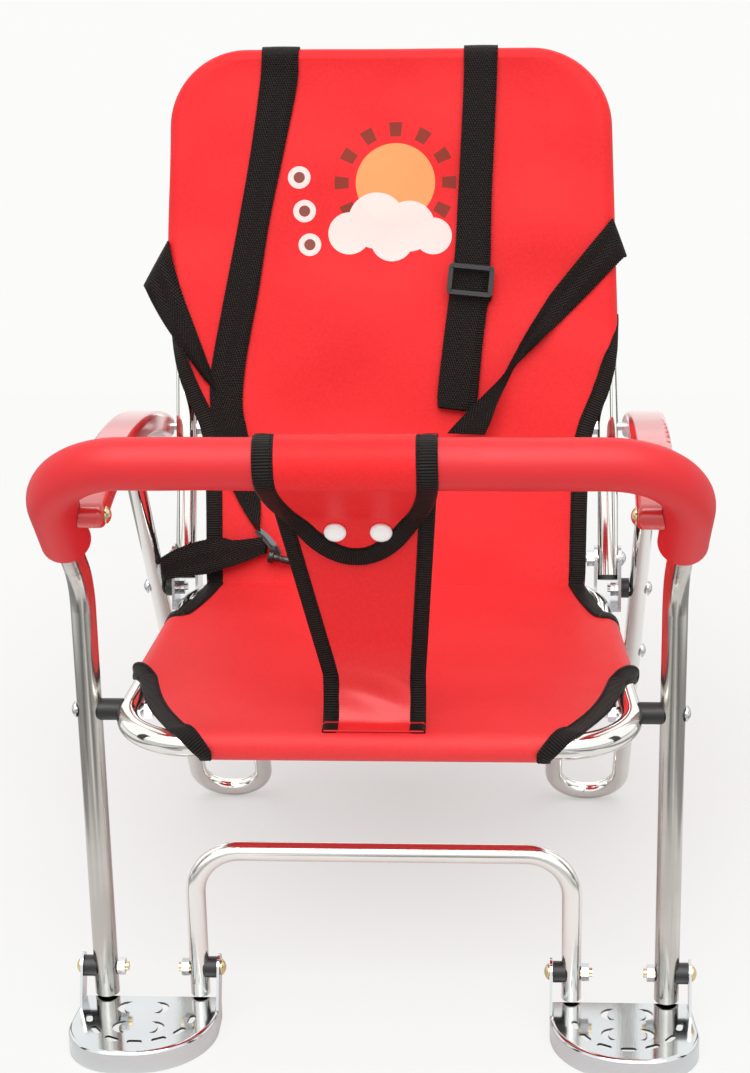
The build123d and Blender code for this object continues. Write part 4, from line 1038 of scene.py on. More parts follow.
@dataclass
class SeatCover:
    """Sewn seat that wraps the ring's front and side tubes."""

    front_x: float = 125.0
    under_x: float = 107.0
    slant: float = 1.3
    slant_turn: float = 120.0
    side_front: float = 27.0
    side_rear: float = 140.0
    rear: float = 191.0
    rear_x: float = 130.0
    bow: float = 4.0
    notch: float = 0.85
    hem: float = 24.0
    sag: float = 6.0
    corner_sag: float = 1.2
    wave: float = 0.6
    wave_size: float = 120.0
    cloth: float = 1.0

    # Steps round a pocket's tube, and along the hem under it
    ROUND, FLAT = 16, 4

    def corner_run(self, y: Grid) -> Grid:
        """Share of the way back along a cut front corner."""
        return np.clip((y + LAY.ring_front) / (self.side_front + LAY.ring_front), 0, 1)

    def half_width(self, y: Grid) -> Grid:
        """Half width of the top sheet behind the front legs' line."""
        run, corner_x = self.corner_run(y), LAY.ring_half(self.side_front)
        front = self.front_x + (corner_x - self.front_x) * run + self.bow * np.sin(math.pi * run)
        back = np.clip((y - self.side_rear) / (self.rear - self.side_rear), 0, 1)
        notch_x = LAY.ring_half(self.side_rear)
        notch = notch_x + (self.rear_x - notch_x) * back**self.notch
        return np.where(y < self.side_front, front, np.where(y > self.side_rear, notch, LAY.ring_half(y)))

    def front_half(self, turn: Grid) -> Grid:
        """Half width of the front pocket, which is cut at a slant, at a turn round its tube."""
        share = np.minimum(turn / math.radians(self.slant_turn), 1)
        return self.front_x + (self.under_x - self.front_x) * share

    def along(self, y: Grid, turn: Grid) -> Grid:
        """Place along a side pocket, whose front end is cut at a slant, at a turn round its tube."""
        run = (self.side_rear - y) / (self.side_rear - self.side_front)
        return y + self.slant * LAY.ring_out * np.minimum(turn, math.radians(self.slant_turn)) * run

    def level(self, x: Grid, y: Grid) -> Grid:
        """Height of the top face over the ring's axis."""
        w = self.half_width(y)
        run = np.clip((y + LAY.ring_front) / (self.rear + LAY.ring_front), 0, 1)
        bowl = np.sin(math.pi * run**0.9) ** 1.6
        inner = np.clip(1 - (x / w) ** 2, 0, 1)
        free = np.where(y < self.side_front, np.sin(math.pi * self.corner_run(y)), 0)
        soft = self.wave * ripple(x, y, self.wave_size, 1.9) * inner * bowl
        return LAY.ring_out - self.sag * inner * bowl - self.corner_sag * free * np.abs(x / w) ** 3 + soft

    def build(self) -> bpy.types.Object:
        """Make the top sheet and its pockets as one mesh."""
        rows = np.concatenate([
            np.linspace(-LAY.ring_front, self.side_front, 22),
            np.linspace(self.side_front, self.side_rear, 22)[1:],
            np.linspace(self.side_rear, self.rear, 16)[1:],
        ])
        cols = np.linspace(-1, 1, 61)
        turns = np.linspace(0, math.pi, self.ROUND + 1)

        def top(u: Grid, v: Grid) -> Grid:
            """Top sheet."""
            x = u * self.half_width(v)
            return LAY.seat(x, v, self.level(x, v))

        def pocket(k: Grid) -> tuple[Grid, Grid, Grid]:
            """Turn, outward run and height of the pocket's section at its steps."""
            k = np.rint(k).astype(int)
            turn = turns[np.minimum(k, self.ROUND)]
            flat = np.maximum(k - self.ROUND, 0) / self.FLAT * self.hem
            return turn, LAY.ring_out * np.sin(turn) - flat, LAY.ring_out * np.cos(turn)

        def front(u: Grid, v: Grid) -> Grid:
            """Pocket round the front tube."""
            turn, run, z = pocket(-v)
            return LAY.seat(u * self.front_half(turn), -LAY.ring_front - run, z)

        def right(u: Grid, v: Grid) -> Grid:
            """Pocket round the right side tube."""
            turn, run, z = pocket(u)
            y = self.along(v, turn)
            return LAY.seat(LAY.ring_half(y) + run, y, z)

        def left(u: Grid, v: Grid) -> Grid:
            """Pocket round the left side tube."""
            return right(-u, v) * [-1.0, 1.0, 1.0]

        steps, near = np.arange(self.ROUND + self.FLAT + 1), 1e-6
        sides = rows[(rows >= self.side_front - near) & (rows <= self.side_rear + near)]
        obj = weld("seat_sling", [
            patch("top", cols, rows, top),
            patch("front", cols, -steps[::-1], front),
            patch("right", steps, sides, right),
            patch("left", -steps[::-1], sides, left),
        ])
        thicken(obj, self.cloth)
        dress(obj, RED_CLOTH)
        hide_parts("seat_cover")
        return obj


@dataclass
class EdgeTapes:
    """Black tape folded over the sling's free edges."""

    seat: SeatCover
    back: BackCover
    width: float = 10.4
    lift: float = 0.6
    depth: float = 1.7
    pucker: float = 0.2
    step: float = 4.0
    front_wrap: float = 150.0
    rear_wrap: float = 140.0
    front_slant: float = 0.9
    crease_gap: float = 2.5
    back_foot: float = 2.0
    back_over: float = 8.0
    run_out: float = 36.0
    edge_lean: float = 0.8

    def pocket_end(self, side: Side, y: float, turn: Grid) -> tuple[Grid, Grid]:
        """Points and outward directions round the open end of a side pocket."""
        y = self.seat.along(y, turn)
        x = side.value * (LAY.ring_half(y) + LAY.ring_out * np.sin(turn))
        points = LAY.seat(x, y, LAY.ring_out * np.cos(turn))
        return points, np.stack([side.value * np.sin(turn), 0 * turn, np.cos(turn)], axis=-1)

    def seat_edge(self, side: Side, y: Grid) -> tuple[Grid, Grid]:
        """Points and outward directions along an edge of the seat's top sheet."""
        x = side.value * self.seat.half_width(y)
        return LAY.seat(x, y, self.seat.level(x, y)), np.tile([0.0, 0.0, 1.0], (len(y), 1))

    def front_corner(self, side: Side) -> bpy.types.Object:
        """Tape across one front corner, turned round both tubes."""
        s, slant = side.value, self.seat.slant
        turn = np.linspace(math.radians(self.front_wrap), 0, 12)
        p1, n1 = self.pocket_end(side, self.seat.side_front, turn)
        i1 = np.stack([-s * slant * np.cos(turn), 1 + 0 * turn, slant * np.sin(turn)], axis=-1)
        p2, n2 = self.seat_edge(side, np.linspace(self.seat.side_front, -LAY.ring_front, 40))
        i2 = -s * np.cross([0.0, 0.0, 1.0], np.gradient(p2, axis=0))
        a = turn[::-1]
        x = s * self.seat.front_half(a)
        p3 = LAY.seat(x, -LAY.ring_front - LAY.ring_out * np.sin(a), LAY.ring_out * np.cos(a))
        n3 = np.stack([0 * a, -np.sin(a), np.cos(a)], axis=-1)
        i3 = np.stack([-s + 0 * a, self.front_slant * np.cos(a), self.front_slant * np.sin(a)], axis=-1)
        line = np.vstack([p1, p2[1:-1], p3])
        out = np.vstack([n1, n2[1:-1], n3])
        inward = np.vstack([unit(i1), unit(i2[1:-1]), unit(i3)])
        return self.finish(f"{side.name.lower()}_front_tape", line, inward, out)

    def rear_edge(self, side: Side) -> bpy.types.Object:
        """Tape from a side pocket's rear end, over the crease and up the cut edge of the back."""
        s, sideways = side.value, np.array([side.value, 0.0, 0.0])
        p1, n1 = self.pocket_end(side, self.seat.side_rear, np.linspace(math.radians(self.rear_wrap), 0, 12))
        i1 = np.tile([0.0, -1.0, 0.0], (len(p1), 1))
        y = np.linspace(self.seat.side_rear, self.seat.rear - self.crease_gap, 26)
        p2, n2 = self.seat_edge(side, y)
        turn = np.linspace(0, 1, len(y))
        i2 = unit(np.stack([-s * (0.6 + 0.4 * turn), -0.8 * (1 - turn), 0 * y], axis=-1))
        t = np.linspace(self.back_foot, self.back.edge_t + self.back_over, 60)
        w = self.back.half_width(t)
        p3 = self.back.place(s * w, t, self.back.front(s * w, t))
        lean = self.edge_lean * np.clip((w - LAY.back_x) / LAY.back_out, 0, 1)[:, None]
        n3 = unit(BACK_OUT * np.sqrt(1 - lean**2 * 0.98) + sideways * lean)
        i3 = unit(-sideways + BACK_UP * np.gradient(w, t)[:, None])
        i3 = unit(i3 - (i3 * n3).sum(axis=1, keepdims=True) * n3)
        line = np.vstack([p1, p2[1:], p3])
        out = np.vstack([n1, n2[1:], n3])
        inward = np.vstack([i1, i2[1:], i3])
        return self.finish(f"{side.name.lower()}_rear_tape", line, inward, out, self.run_out)

    def finish(self, name: str, line: Grid, inward: Grid, out: Grid, taper: float = 0.01) -> bpy.types.Object:
        """Even the line out, soften its turns and lay the tape."""
        turn_weight, rounds = 30, 3
        both = even(np.hstack([line, inward * turn_weight, out * turn_weight]), self.step)
        line, inward, out = both[:, :3], both[:, 3:6], both[:, 6:]
        for field in (inward, out):
            for _ in range(rounds):
                field[1:-1] = (field[:-2] + 2 * field[1:-1] + field[2:]) / 4
        out = unit(out)
        inward = unit(inward - (inward * out).sum(axis=1, keepdims=True) * out)
        obj = tape(name, line, inward, out, self.width, self.lift, self.depth, self.pucker, taper)
        dress(obj, BLACK_TAPE)
        return obj

    def build(self) -> None:
        """Lay all four tapes."""
        for side in Side:
            front = self.front_corner(side)
            rear = self.rear_edge(side)
            if side is Side.LEFT:
                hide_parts("seat_binding")
                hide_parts("back_binding")


@dataclass
class CrotchStrap:
    """Strap from the seat's front up behind the bar, over it and down as a flap with two snaps."""

    foot_y: float = -43.0
    foot_lift: float = 1.4
    tab: float = 9.5
    left_foot: float = -31.0
    right_foot: float = 30.5
    left_bar: float = -63.0
    right_bar: float = 41.5
    drift: float = 3.0
    wrap: float = 16.9
    flare_rise: float = 40.0
    meet_rise: float = 150.0
    flap_rise: float = 121.5
    flap_gap: float = 3.6
    straight: float = 26.0
    round_part: float = 0.985
    flap_tape: float = 11.5
    strap_tape: float = 8.8
    tape_lift: float = 1.1
    tape_depth: float = 1.1
    pucker: float = 0.15
    snap_rise: float = 145.0
    snap_lift: float = 0.6
    snap_x: tuple[float, float] = (-19.7, 7.5)
    crinkle: float = 1.5
    cloth: float = 1.0

    # Side view of the slack over the strap's foot, from its fold
    SLACK = ((2.0, 3.0), (6.5, 9.5), (9.0, 18.0), (8.5, 30.0), (4.5, 50.0))
    # Radii and heights of a snap cap, from its underside to its top
    CAP = ((0.02, -0.3), (5.7, -0.3), (6.5, 0.1), (6.7, 0.9), (6.4, 1.8), (5.8, 2.5), (4.5, 3.2), (2.6, 3.7),
           (0.02, 3.9))
    # Points of the strap's side view that lie in its tab, and that its tape leaves free under the flap
    TAB_POINTS, TOP_POINTS = 12, 5

    def touch(self, y: float, z: float, way: int) -> tuple[float, Pair]:
        """Angle and place where a line from a point meets the wrap round the bar."""
        dy, dz = y + LAY.bar_reach, z - LAY.bar_rise
        turn = math.atan2(dz, dy) + way * math.acos(self.wrap / math.hypot(dy, dz))
        return turn, self.round_bar(turn)

    def round_bar(self, turn: float) -> Pair:
        """Place on the wrap round the bar."""
        return -LAY.bar_reach + self.wrap * math.cos(turn), LAY.bar_rise + self.wrap * math.sin(turn)

    def on_strap(self, rear: Grid, rise: float) -> Pair:
        """Place just in front of the strap at a rise."""
        k = int(np.argmin(np.abs(rear[:, 1] - rise) + 1e3 * (np.arange(len(rear)) < self.TAB_POINTS)))
        return rear[k, 0] - self.flap_gap, rise

    def lines(self, seat: SeatCover) -> tuple[Grid, Grid]:
        """Side views of the strap and of the flap, from the ring's axes."""
        base = float(seat.level(np.array(0.0), np.array(self.foot_y))) + self.foot_lift
        foot = ((-self.tab, 0.0), (-self.tab / 2, 0.2), (-1.0, 0.6)) + self.SLACK
        foot = [(self.foot_y + y, base + z) for y, z in foot]
        turn, top = self.touch(*foot[-1], 1)
        wrap = [self.round_bar(a) for a in np.linspace(turn, math.pi / 2, 8)[1:]]
        rear = smooth_path(foot + between(foot[-1], top, (0.33, 0.66, 1.0)) + wrap, 2.0)
        meet, end = (self.on_strap(rear, rise) for rise in (self.meet_rise, self.flap_rise))
        turn, leave = self.touch(*meet, -1)
        front = [self.round_bar(a) for a in np.linspace(math.pi / 2, turn % (2 * math.pi), 10)]
        front += between(leave, meet, (0.3, 0.6, 0.9)) + between(meet, end, (0.25, 0.6, 1.0))
        return rear, smooth_path(front, 1.5)

    def build(self, seat: SeatCover, foam: bpy.types.Object) -> None:
        """Make the strap, the flap, their tape and the snap caps.

        Args:
            seat: Seat that the strap is sewn to.
            foam: Foam that the flap lies on; not used.
        """
        rear, front = self.lines(seat)
        rise = np.clip((rear[:, 1] - self.flare_rise) / (LAY.bar_rise - self.flare_rise), 0, 1)
        x0 = self.left_foot + (self.left_bar - self.left_foot) * rise
        x1 = self.right_foot + (self.right_bar - self.right_foot) * rise
        strap = self.sheet("strap", rear, x0, x1, self.crinkle)
        run, angle = arc_length(front), np.linspace(0, math.pi / 2 * self.round_part, 40)
        sides = np.linspace(0, self.straight, 14)[:-1]
        place = np.concatenate([sides, self.straight + (run[-1] - self.straight) * np.sin(angle)])
        front_out = -self.outward(front)
        front, front_out = (np.stack([np.interp(place, run, view[:, k]) for k in range(2)], axis=1)
                            for view in (front, front_out))
        half = (self.right_bar - self.left_bar) / 2 * np.concatenate([np.ones(len(sides)), np.cos(angle)])
        mid = (self.right_bar + self.left_bar) / 2 + self.drift * place / run[-1]
        flap = self.sheet("flap", front, mid - half, mid + half, 0.0)
        obj = weld("crotch_sling", [strap, flap], 0.0)
        thicken(obj, self.cloth, 0.0)
        dress(obj, RED_STRAP)
        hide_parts("crotch_strap")
        edge = np.vstack([self.points(mid - half, front)[:-1], self.points(mid + half, front)[::-1]])
        out = self.across(front_out)
        self.lay("flap_tape", edge, np.vstack([out[:-1], out[::-1]]), -1.0, "crotch_binding", self.flap_tape)
        fold, out = int(np.argmax(rear[:, 0] > self.foot_y)), self.across(self.outward(rear))
        for name, x, sign in (("left", x0, 1.0), ("right", x1, -1.0)):
            line = self.points(x, rear)
            for part, span in (("tab", slice(fold)), ("strap", slice(fold, -self.TOP_POINTS))):
                self.lay(f"{name}_{part}_tape", line[span], out[span], sign, "", self.strap_tape)
        self.snaps(front, front_out)

    def snaps(self, front: Grid, out: Grid) -> None:
        """Domed snap caps on the flap."""
        k = int(np.argmin(np.abs(front[:, 1] - self.snap_rise)))
        way = self.across(out[k : k + 1])[0]
        centres = [LAY.seat(np.array(x), *front[k]) + way * self.snap_lift for x in self.snap_x]
        obj = weld("snap_domes", [self.cap(centre, way) for centre in centres], 0.005)
        face_out(obj)
        set_smooth(obj, 50)
        dress(obj, WHITE_PLASTIC)
        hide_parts("snap_caps")

    def cap(self, centre: Grid, way: Grid) -> bpy.types.Object:
        """One domed cap with a rolled rim.

        Args:
            centre: Middle of its underside.
            way: Direction it looks.

        Returns:
            The cap.
        """
        side = np.array([1.0, 0.0, 0.0])
        up = np.cross(way, side)
        sizes, levels = np.array(self.CAP).T

        def surface(u: Grid, v: Grid) -> Grid:
            """Points round and up the cap."""
            k = np.rint(v).astype(int)
            return centre + spokes(u, side, up) * sizes[k][..., None] + way * levels[k][..., None]

        return patch("cap", np.linspace(0, 2 * math.pi, 37), np.arange(len(sizes)), surface)

    def points(self, x: Grid, side: Grid) -> Grid:
        """Points from a place across and a side view."""
        return LAY.seat(x, side[:, 0], side[:, 1])

    def across(self, out: Grid) -> Grid:
        """Directions in space from directions in the side view."""
        return np.stack([0 * out[:, 0], out[:, 0], out[:, 1]], axis=-1)

    def outward(self, line: Grid) -> Grid:
        """Direction square to a side view, to the left of its way."""
        way = unit(np.gradient(line, axis=0))
        return np.stack([-way[:, 1], way[:, 0]], axis=-1)

    def sheet(self, name: str, side: Grid, x0: Grid, x1: Grid, crinkle: float) -> bpy.types.Object:
        """Sheet between two edges that follows a side view.

        Args:
            name: Name of the new object.
            side: Its side view.
            x0: Its left edge.
            x1: Its right edge.
            crinkle: Depth of the wrinkles near its foot.

        Returns:
            The sheet.
        """
        crinkle_at, crinkle_spread, crinkle_bend, crinkle_rate = 17, 9, 14, 0.62
        run = np.arange(len(side), dtype=float)

        def surface(u: Grid, v: Grid) -> Grid:
            """Points across and along the sheet."""
            k = np.rint(v).astype(int)
            x = x0[k] + (x1[k] - x0[k]) * u
            low = np.exp(-(((run[k] - crinkle_at) / crinkle_spread) ** 2)) * np.sin(math.pi * u)
            wave = crinkle * low * np.sin((run[k] + crinkle_bend * u**2) * crinkle_rate)
            return LAY.seat(x, side[k, 0] - 0.5 * wave, side[k, 1] + wave)

        return patch(name, np.linspace(0, 1, 33), np.arange(len(side)), surface)

    def lay(self, name: str, line: Grid, out: Grid, sign: float, node: str, width: float) -> None:
        """Lay tape along an edge.

        Args:
            name: Name of the tape.
            line: Points along the edge.
            out: Direction the sheet looks.
            sign: Turns the inward direction.
            node: Node that the tape stands for, or nothing.
            width: Width of the tape.
        """
        turn_weight, step = 20, 2.0
        both = even(np.hstack([line, out * turn_weight]), step)
        line, out = both[:, :3], unit(both[:, 3:])
        inward = unit(np.cross(unit(np.gradient(line, axis=0)), out)) * sign
        obj = tape(name, line, inward, out, width, self.tape_lift, self.tape_depth, self.pucker)
        dress(obj, BLACK_TAPE)
        if node:
            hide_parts(node)


# Padding


@dataclass
class FoamBar:
    """Foam sleeve on the guard bar and its bends."""

    radius: float = 15.5
    bore: float = 8.2
    rise: float = 124.0
    lip: float = 3.0
    step: float = 4.0
    dent: float = 0.25
    dent_size: float = 90.0

    def build(self) -> bpy.types.Object:
        """Make the sleeve with rounded ends."""
        run = (self.rise - LAY.knee_rise) / (LAY.bar_rise - LAY.knee_rise)
        low = (LAY.leg_x + run * (LAY.bar_x - LAY.leg_x), -run * LAY.bar_reach, self.rise)
        high = (LAY.bar_x, -LAY.bar_reach, LAY.bar_rise)
        corners = [LAY.seat(s * x, y, z) for s, (x, y, z) in ((-1, low), (-1, high), (1, high), (1, low))]
        line = bent_path(corners, LAY.bar_bend, self.step)
        way = unit(np.gradient(line, axis=0))
        up = unit(np.cross(way, np.tile([0.0, 1.0, 0.3], (len(line), 1))))
        side = np.cross(way, up)
        turn = np.linspace(0, math.pi / 2, 6)
        ends, between_ends, last = len(turn) + 1, len(line) - 2, len(line) - 1
        flat, rim = self.radius - self.lip, self.lip * (1 - np.cos(turn))
        radii = np.concatenate([
            [self.bore], flat + self.lip * np.sin(turn), np.full(between_ends, self.radius),
            flat + self.lip * np.cos(turn), [self.bore]])
        shift = np.concatenate([[0.0], rim, np.zeros(between_ends), -rim[::-1], [0.0]])
        index = np.concatenate([np.zeros(ends, int), np.arange(1, last), np.full(ends, last)])

        def surface(u: Grid, v: Grid) -> Grid:
            """Points round and along the sleeve."""
            k = np.rint(v).astype(int)
            i = index[k]
            dent = self.dent * ripple(i * self.step, np.cos(u) * 20, self.dent_size, 0.4)
            r = radii[k] + np.where(radii[k] > self.bore, dent, 0)
            return (line[i] + way[i] * shift[k][..., None]
                    + up[i] * (r * np.cos(u))[..., None] + side[i] * (r * np.sin(u))[..., None])

        rounds = np.linspace(0, 2 * math.pi, 41)
        obj = weld("foam_sleeve", [patch("foam", rounds, np.arange(len(index)), surface)])
        face_out(obj)
        set_smooth(obj, 60)
        dress(obj, RED_FOAM)
        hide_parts("guard_foam")
        return obj


# Harness


@dataclass
class Harness:
    """Shoulder, side and waist webbing with its slider and catch."""

    back: BackCover
    thickness: float = 1.4
    gap: float = 0.6
    tail: float = 40.0
    cup: float = 0.25
    teeth: float = 0.22

    def lay(self, edge: Sequence[tuple[float, ...]], layer: int = 0) -> Grid:
        """Points of an edge on the front of the back.

        Args:
            edge: Places across and up the back, each with a height of its own if it isn't on the cover.
            layer: Number of straps beneath.

        Returns:
            Array of points.
        """
        over = (self.thickness + self.gap) * (layer + 1)
        points = []
        for place in edge:
            x, t = np.array(place[0], float), np.array(place[1], float)
            high = place[2] if len(place) > 2 else float(self.back.front(x, t)) + over
            points.append(LAY.back(x, t, np.array(high)))
        return np.array(points)

    def over_top(self, x: float) -> list[tuple[float, float, float]]:
        """Places of an edge from the rear of the back over its top tube."""
        reach = LAY.back_out + self.gap + self.thickness
        top = [(x, LAY.back_len - self.tail, -reach), (x, LAY.back_len - self.tail / 2, -reach)]
        return top + [(x, LAY.back_len + reach * math.cos(a), reach * math.sin(a))
                      for a in np.linspace(-math.pi / 2, math.pi / 2, 7)]

    def weave(self, name: str, node: str, first: Grid, second: Grid, cup: float) -> bpy.types.Object:
        """Weave one strap between two edges and put it in its node's place."""
        obj = band(name, first, second, self.thickness, cup, self.teeth)
        dress(obj, BLACK_WEB)
        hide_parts(node)
        return obj

    def left_shoulder(self) -> None:
        """Left shoulder strap, turned on edge where it reaches its catch."""
        right = self.over_top(-71.0) + [
            (-72, 345), (-81, 298), (-90.7, 248), (-97.7, 199), (-103.5, 166), (-107, 140), (-108, 118),
            (-105, 101), (-99, 75), (-94.5, 47), (-95.4, 30, 15.5)]
        left = self.over_top(-97.0) + [
            (-98.5, 345), (-104.5, 298), (-112.5, 248), (-120.5, 203), (-127.5, 163), (-131, 139),
            (-131, 121), (-129, 104), (-121.5, 75), (-109, 48), (-97.4, 30, 8.5)]
        self.weave("left_shoulder_web", "left_shoulder_strap", self.lay(right), self.lay(left), self.cup)

    def right_shoulder(self) -> None:
        """Right shoulder strap, folded back on itself at its lower end and through the slider."""
        right = self.over_top(69.5) + [
            (69, 345), (67.5, 305), (65.8, 262), (65.2, 222), (63.4, 190), (59.2, 155), (56, 125),
            (54.6, 114)]
        left = self.over_top(46.0) + [
            (45.8, 345), (44.2, 305), (42.1, 262), (40.2, 224), (36, 191), (32, 157), (28.8, 127),
            (29.2, 117)]
        front = band("front", self.lay(right, 1), self.lay(left, 1), self.thickness, self.cup, self.teeth)
        right = [(54.6, 112.6, 9.6), (56.2, 118), (59.5, 155), (63, 186), (66.3, 193), (66, 203)]
        left = [(29.6, 115.6, 9.6), (29.0, 121), (33, 157), (38.5, 188), (41.5, 196), (41.5, 206)]
        rear = band("rear", self.lay(right), self.lay(left), self.thickness, 0.1, self.teeth)
        obj = weld("right_shoulder_web", [front, rear], 0.0)
        dress(obj, BLACK_WEB)
        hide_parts("right_shoulder_strap")

    def right_side(self) -> None:
        """Right side strap: folded round the back's edge, then half twisted on its way down."""
        upper = [
            (110, 256, -11.5), (135, 256, -11.5), (147, 250.5, -8), (150.2, 248, 1.5), (147, 245, 11),
            (111.7, 202), (101.7, 187.5), (91, 168.5, 12.0), (81.8, 150, 15.2), (75, 137.5, 17.5),
            (60, 122.5, 19.0), (42, 104, 18.5), (36, 97, 18.0)]
        lower = [
            (118, 229, -11.5), (143, 229, -11.5), (156.5, 226.5, -8), (160.2, 223.5, 1.5),
            (155.5, 218.5, 10.8), (118.6, 181.0), (102.5, 165.0, 11.5), (90.5, 152.8, 11.2),
            (82.5, 143.5, 12.0), (77.5, 133, 13.4), (71.5, 120, 16.0), (65.5, 103.5, 18.5), (62, 96, 18.0)]
        self.weave("right_side_web", "right_side_strap", self.lay(lower), self.lay(upper), 0.1)

    def left_side(self) -> None:
        """Left side strap: folded flat at the back's edge, then gathered behind the shoulder strap."""
        inner = [
            (-120, 250, -11.5), (-145, 244, -11.5), (-159.5, 238.5, -8), (-163.4, 235.8, 1.5),
            (-161, 229, 10.6), (-152.1, 199, 11.0), (-141.1, 170), (-131, 143.5), (-124, 125)]
        outer = [
            (-133, 219, -11.5), (-158, 212, -11.5), (-175, 207, -6), (-179.7, 204.6, 2.5),
            (-177.5, 199.5, 8.6), (-170.3, 185.6, 9.8), (-160.9, 170.5, 10.4),
            (-148, 153.5, 10.4), (-134.5, 137, 10.4)]
        self.weave("left_side_web", "left_side_strap", self.lay(inner), self.lay(outer), 0.15)

    def waist(self) -> None:
        """Waist strap from the left rear leg to its loop at the catch."""
        top = [
            (-165, 9.5, 10.5), (-153, 16, 14), (-137.4, 21.5, 16), (-121, 24.2, 16), (-112.6, 22.6, 15.5),
            (-100, 23.8, 14.5), (-90.5, 25, 13.5), (-88.6, 24.5, 11.6)]
        low = [
            (-160.5, -5.3, 10.5), (-147, -3, 14), (-129, -1, 16), (-117.6, 2.8, 16), (-110, 5.2, 15.5),
            (-100, 9, 14.5), (-92.5, 12.6, 13.5), (-90.4, 13.6, 11.6)]
        self.weave("waist_web", "waist_strap", self.lay(low), self.lay(top), 0.3)

    def slider(self, across: float = 32.0, tall: float = 22.0, bar: float = 3.3, thick: float = 2.6,
               corner: float = 3.0, rounding: float = 0.8) -> None:
        """Moulded slider frame on the right shoulder strap.

        Args:
            across: Outer width.
            tall: Outer height.
            bar: Width of its bars.
            thick: Thickness.
            corner: Radius of its corners.
            rounding: Radius of its edges.
        """
        x0, t0, high, turn = 51.6, 205.0, 14.2, math.radians(-5.5)
        deselect()
        bpy.ops.mesh.primitive_plane_add(size=1.0)
        obj = bpy.context.object
        obj.name = "web_slider"
        bpy.ops.object.mode_set(mode="EDIT")
        bpy.ops.mesh.select_all(action="SELECT")
        bpy.ops.transform.resize(value=(across * MM, tall * MM, 1.0))
        bpy.ops.mesh.bevel(offset=corner * MM, segments=5, affect="VERTICES")
        bpy.ops.mesh.inset(thickness=bar * MM)
        bpy.ops.mesh.delete(type="FACE")
        bpy.ops.object.mode_set(mode="OBJECT")
        for vert in obj.data.vertices:
            x = vert.co.x * math.cos(turn) - vert.co.y * math.sin(turn)
            y = vert.co.x * math.sin(turn) + vert.co.y * math.cos(turn)
            vert.co = Vector(LAY.back(np.array(x0 + x / MM), np.array(t0 + y / MM), np.array(high)) * MM)
        thicken(obj, thick, -1.0)
        edge = obj.modifiers.new("edge", "BEVEL")
        edge.width = rounding * MM
        edge.segments = 3
        pick(obj)
        bpy.ops.object.modifier_apply(modifier=edge.name)
        set_smooth(obj, 35)
        dress(obj, SLIDER_PLASTIC)
        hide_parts("strap_slider")

    def catch(self) -> None:
        """Small moulded catch: a bent tongue on the shoulder strap's end and a round hook below it."""
        first = self.lay([(-93.4, 31.0, 12.5), (-87.5, 26, 15.2), (-82, 19.5, 16.4), (-78.4, 13.4, 14.8)])
        second = self.lay([(-98.2, 28.0, 12.5), (-91.8, 22, 15.2), (-86.5, 16, 16.4), (-83, 11.4, 14.8)])
        tongue = band("tongue", first, second, 1.8, 0.5, 0.0, 1.2)
        start, end = self.lay([(-88.2, 11.6, 13.5), (-70.5, 7.6, 13.5)])
        pin = self.pin(start, end, 2.7)
        head = self.pin(start, start + unit(end - start) * 4.2, 4.4)
        obj = weld("waist_catch", [tongue, pin, head], 0.0)
        set_smooth(obj, 45)
        dress(obj, GLOSS_PLASTIC)
        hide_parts("waist_buckle")

    def pin(self, start: Grid, end: Grid, radius: float) -> bpy.types.Object:
        """Round pin with rolled ends and a groove round its middle.

        Args:
            start: One end of its axis.
            end: The other end.
            radius: Its radius.

        Returns:
            The pin.
        """
        way = unit(end - start)
        side = unit(np.cross(way, BACK_OUT))
        up = np.cross(side, way)
        length = float(np.linalg.norm(end - start))
        runs = np.array([0.0, 0.0, 0.04, 0.15, 0.44, 0.47, 0.53, 0.56, 0.85, 0.96, 1.0, 1.0]) * length
        sizes = np.array([0.02, 0.7, 0.9, 1.0, 1.0, 0.84, 0.84, 1.0, 1.0, 0.9, 0.7, 0.02]) * radius

        def surface(u: Grid, v: Grid) -> Grid:
            """Points round and along the pin."""
            k = np.rint(v).astype(int)
            return start + way * runs[k][..., None] + spokes(u, side, up) * sizes[k][..., None]

        rounds = np.linspace(0, 2 * math.pi, 25)
        obj = weld("pin", [patch("pin", rounds, np.arange(len(runs)), surface)], 0.005)
        face_out(obj)
        return obj

    def build(self) -> None:
        """Make all straps and their fittings."""
        self.left_side()
        self.left_shoulder()
        self.right_shoulder()
        self.right_side()
        self.waist()
        self.slider()
        self.catch()


# Studio


@dataclass(frozen=True)
class Camera:
    """Camera that sees the seat as the photograph does."""

    place: tuple[float, float, float] = (102.1, -1633.79, 918.2)
    turn: float = 3.9
    tilt: float = 21.0
    roll: float = 1.2
    lens: float = 88.2

    def build(self) -> None:
        """Add the camera and make it the scene's own."""
        a, e, r = (math.radians(v) for v in (self.turn, self.tilt, self.roll))
        ahead = Vector((-math.sin(a) * math.cos(e), math.cos(a) * math.cos(e), -math.sin(e)))
        level = Vector((math.cos(a), math.sin(a), 0.0))
        down = ahead.cross(level)
        right = level * math.cos(r) + down * math.sin(r)
        below = down * math.cos(r) - level * math.sin(r)
        data = bpy.data.cameras.new("camera")
        data.lens = self.lens
        data.clip_end = 50.0
        camera = bpy.data.objects.new("camera", data)
        bpy.context.scene.collection.objects.link(camera)
        axes = Matrix((right, -below, -ahead)).transposed()
        camera.matrix_world = Matrix.Translation(Vector(self.place) * MM) @ axes.to_4x4()
        bpy.context.scene.camera = camera


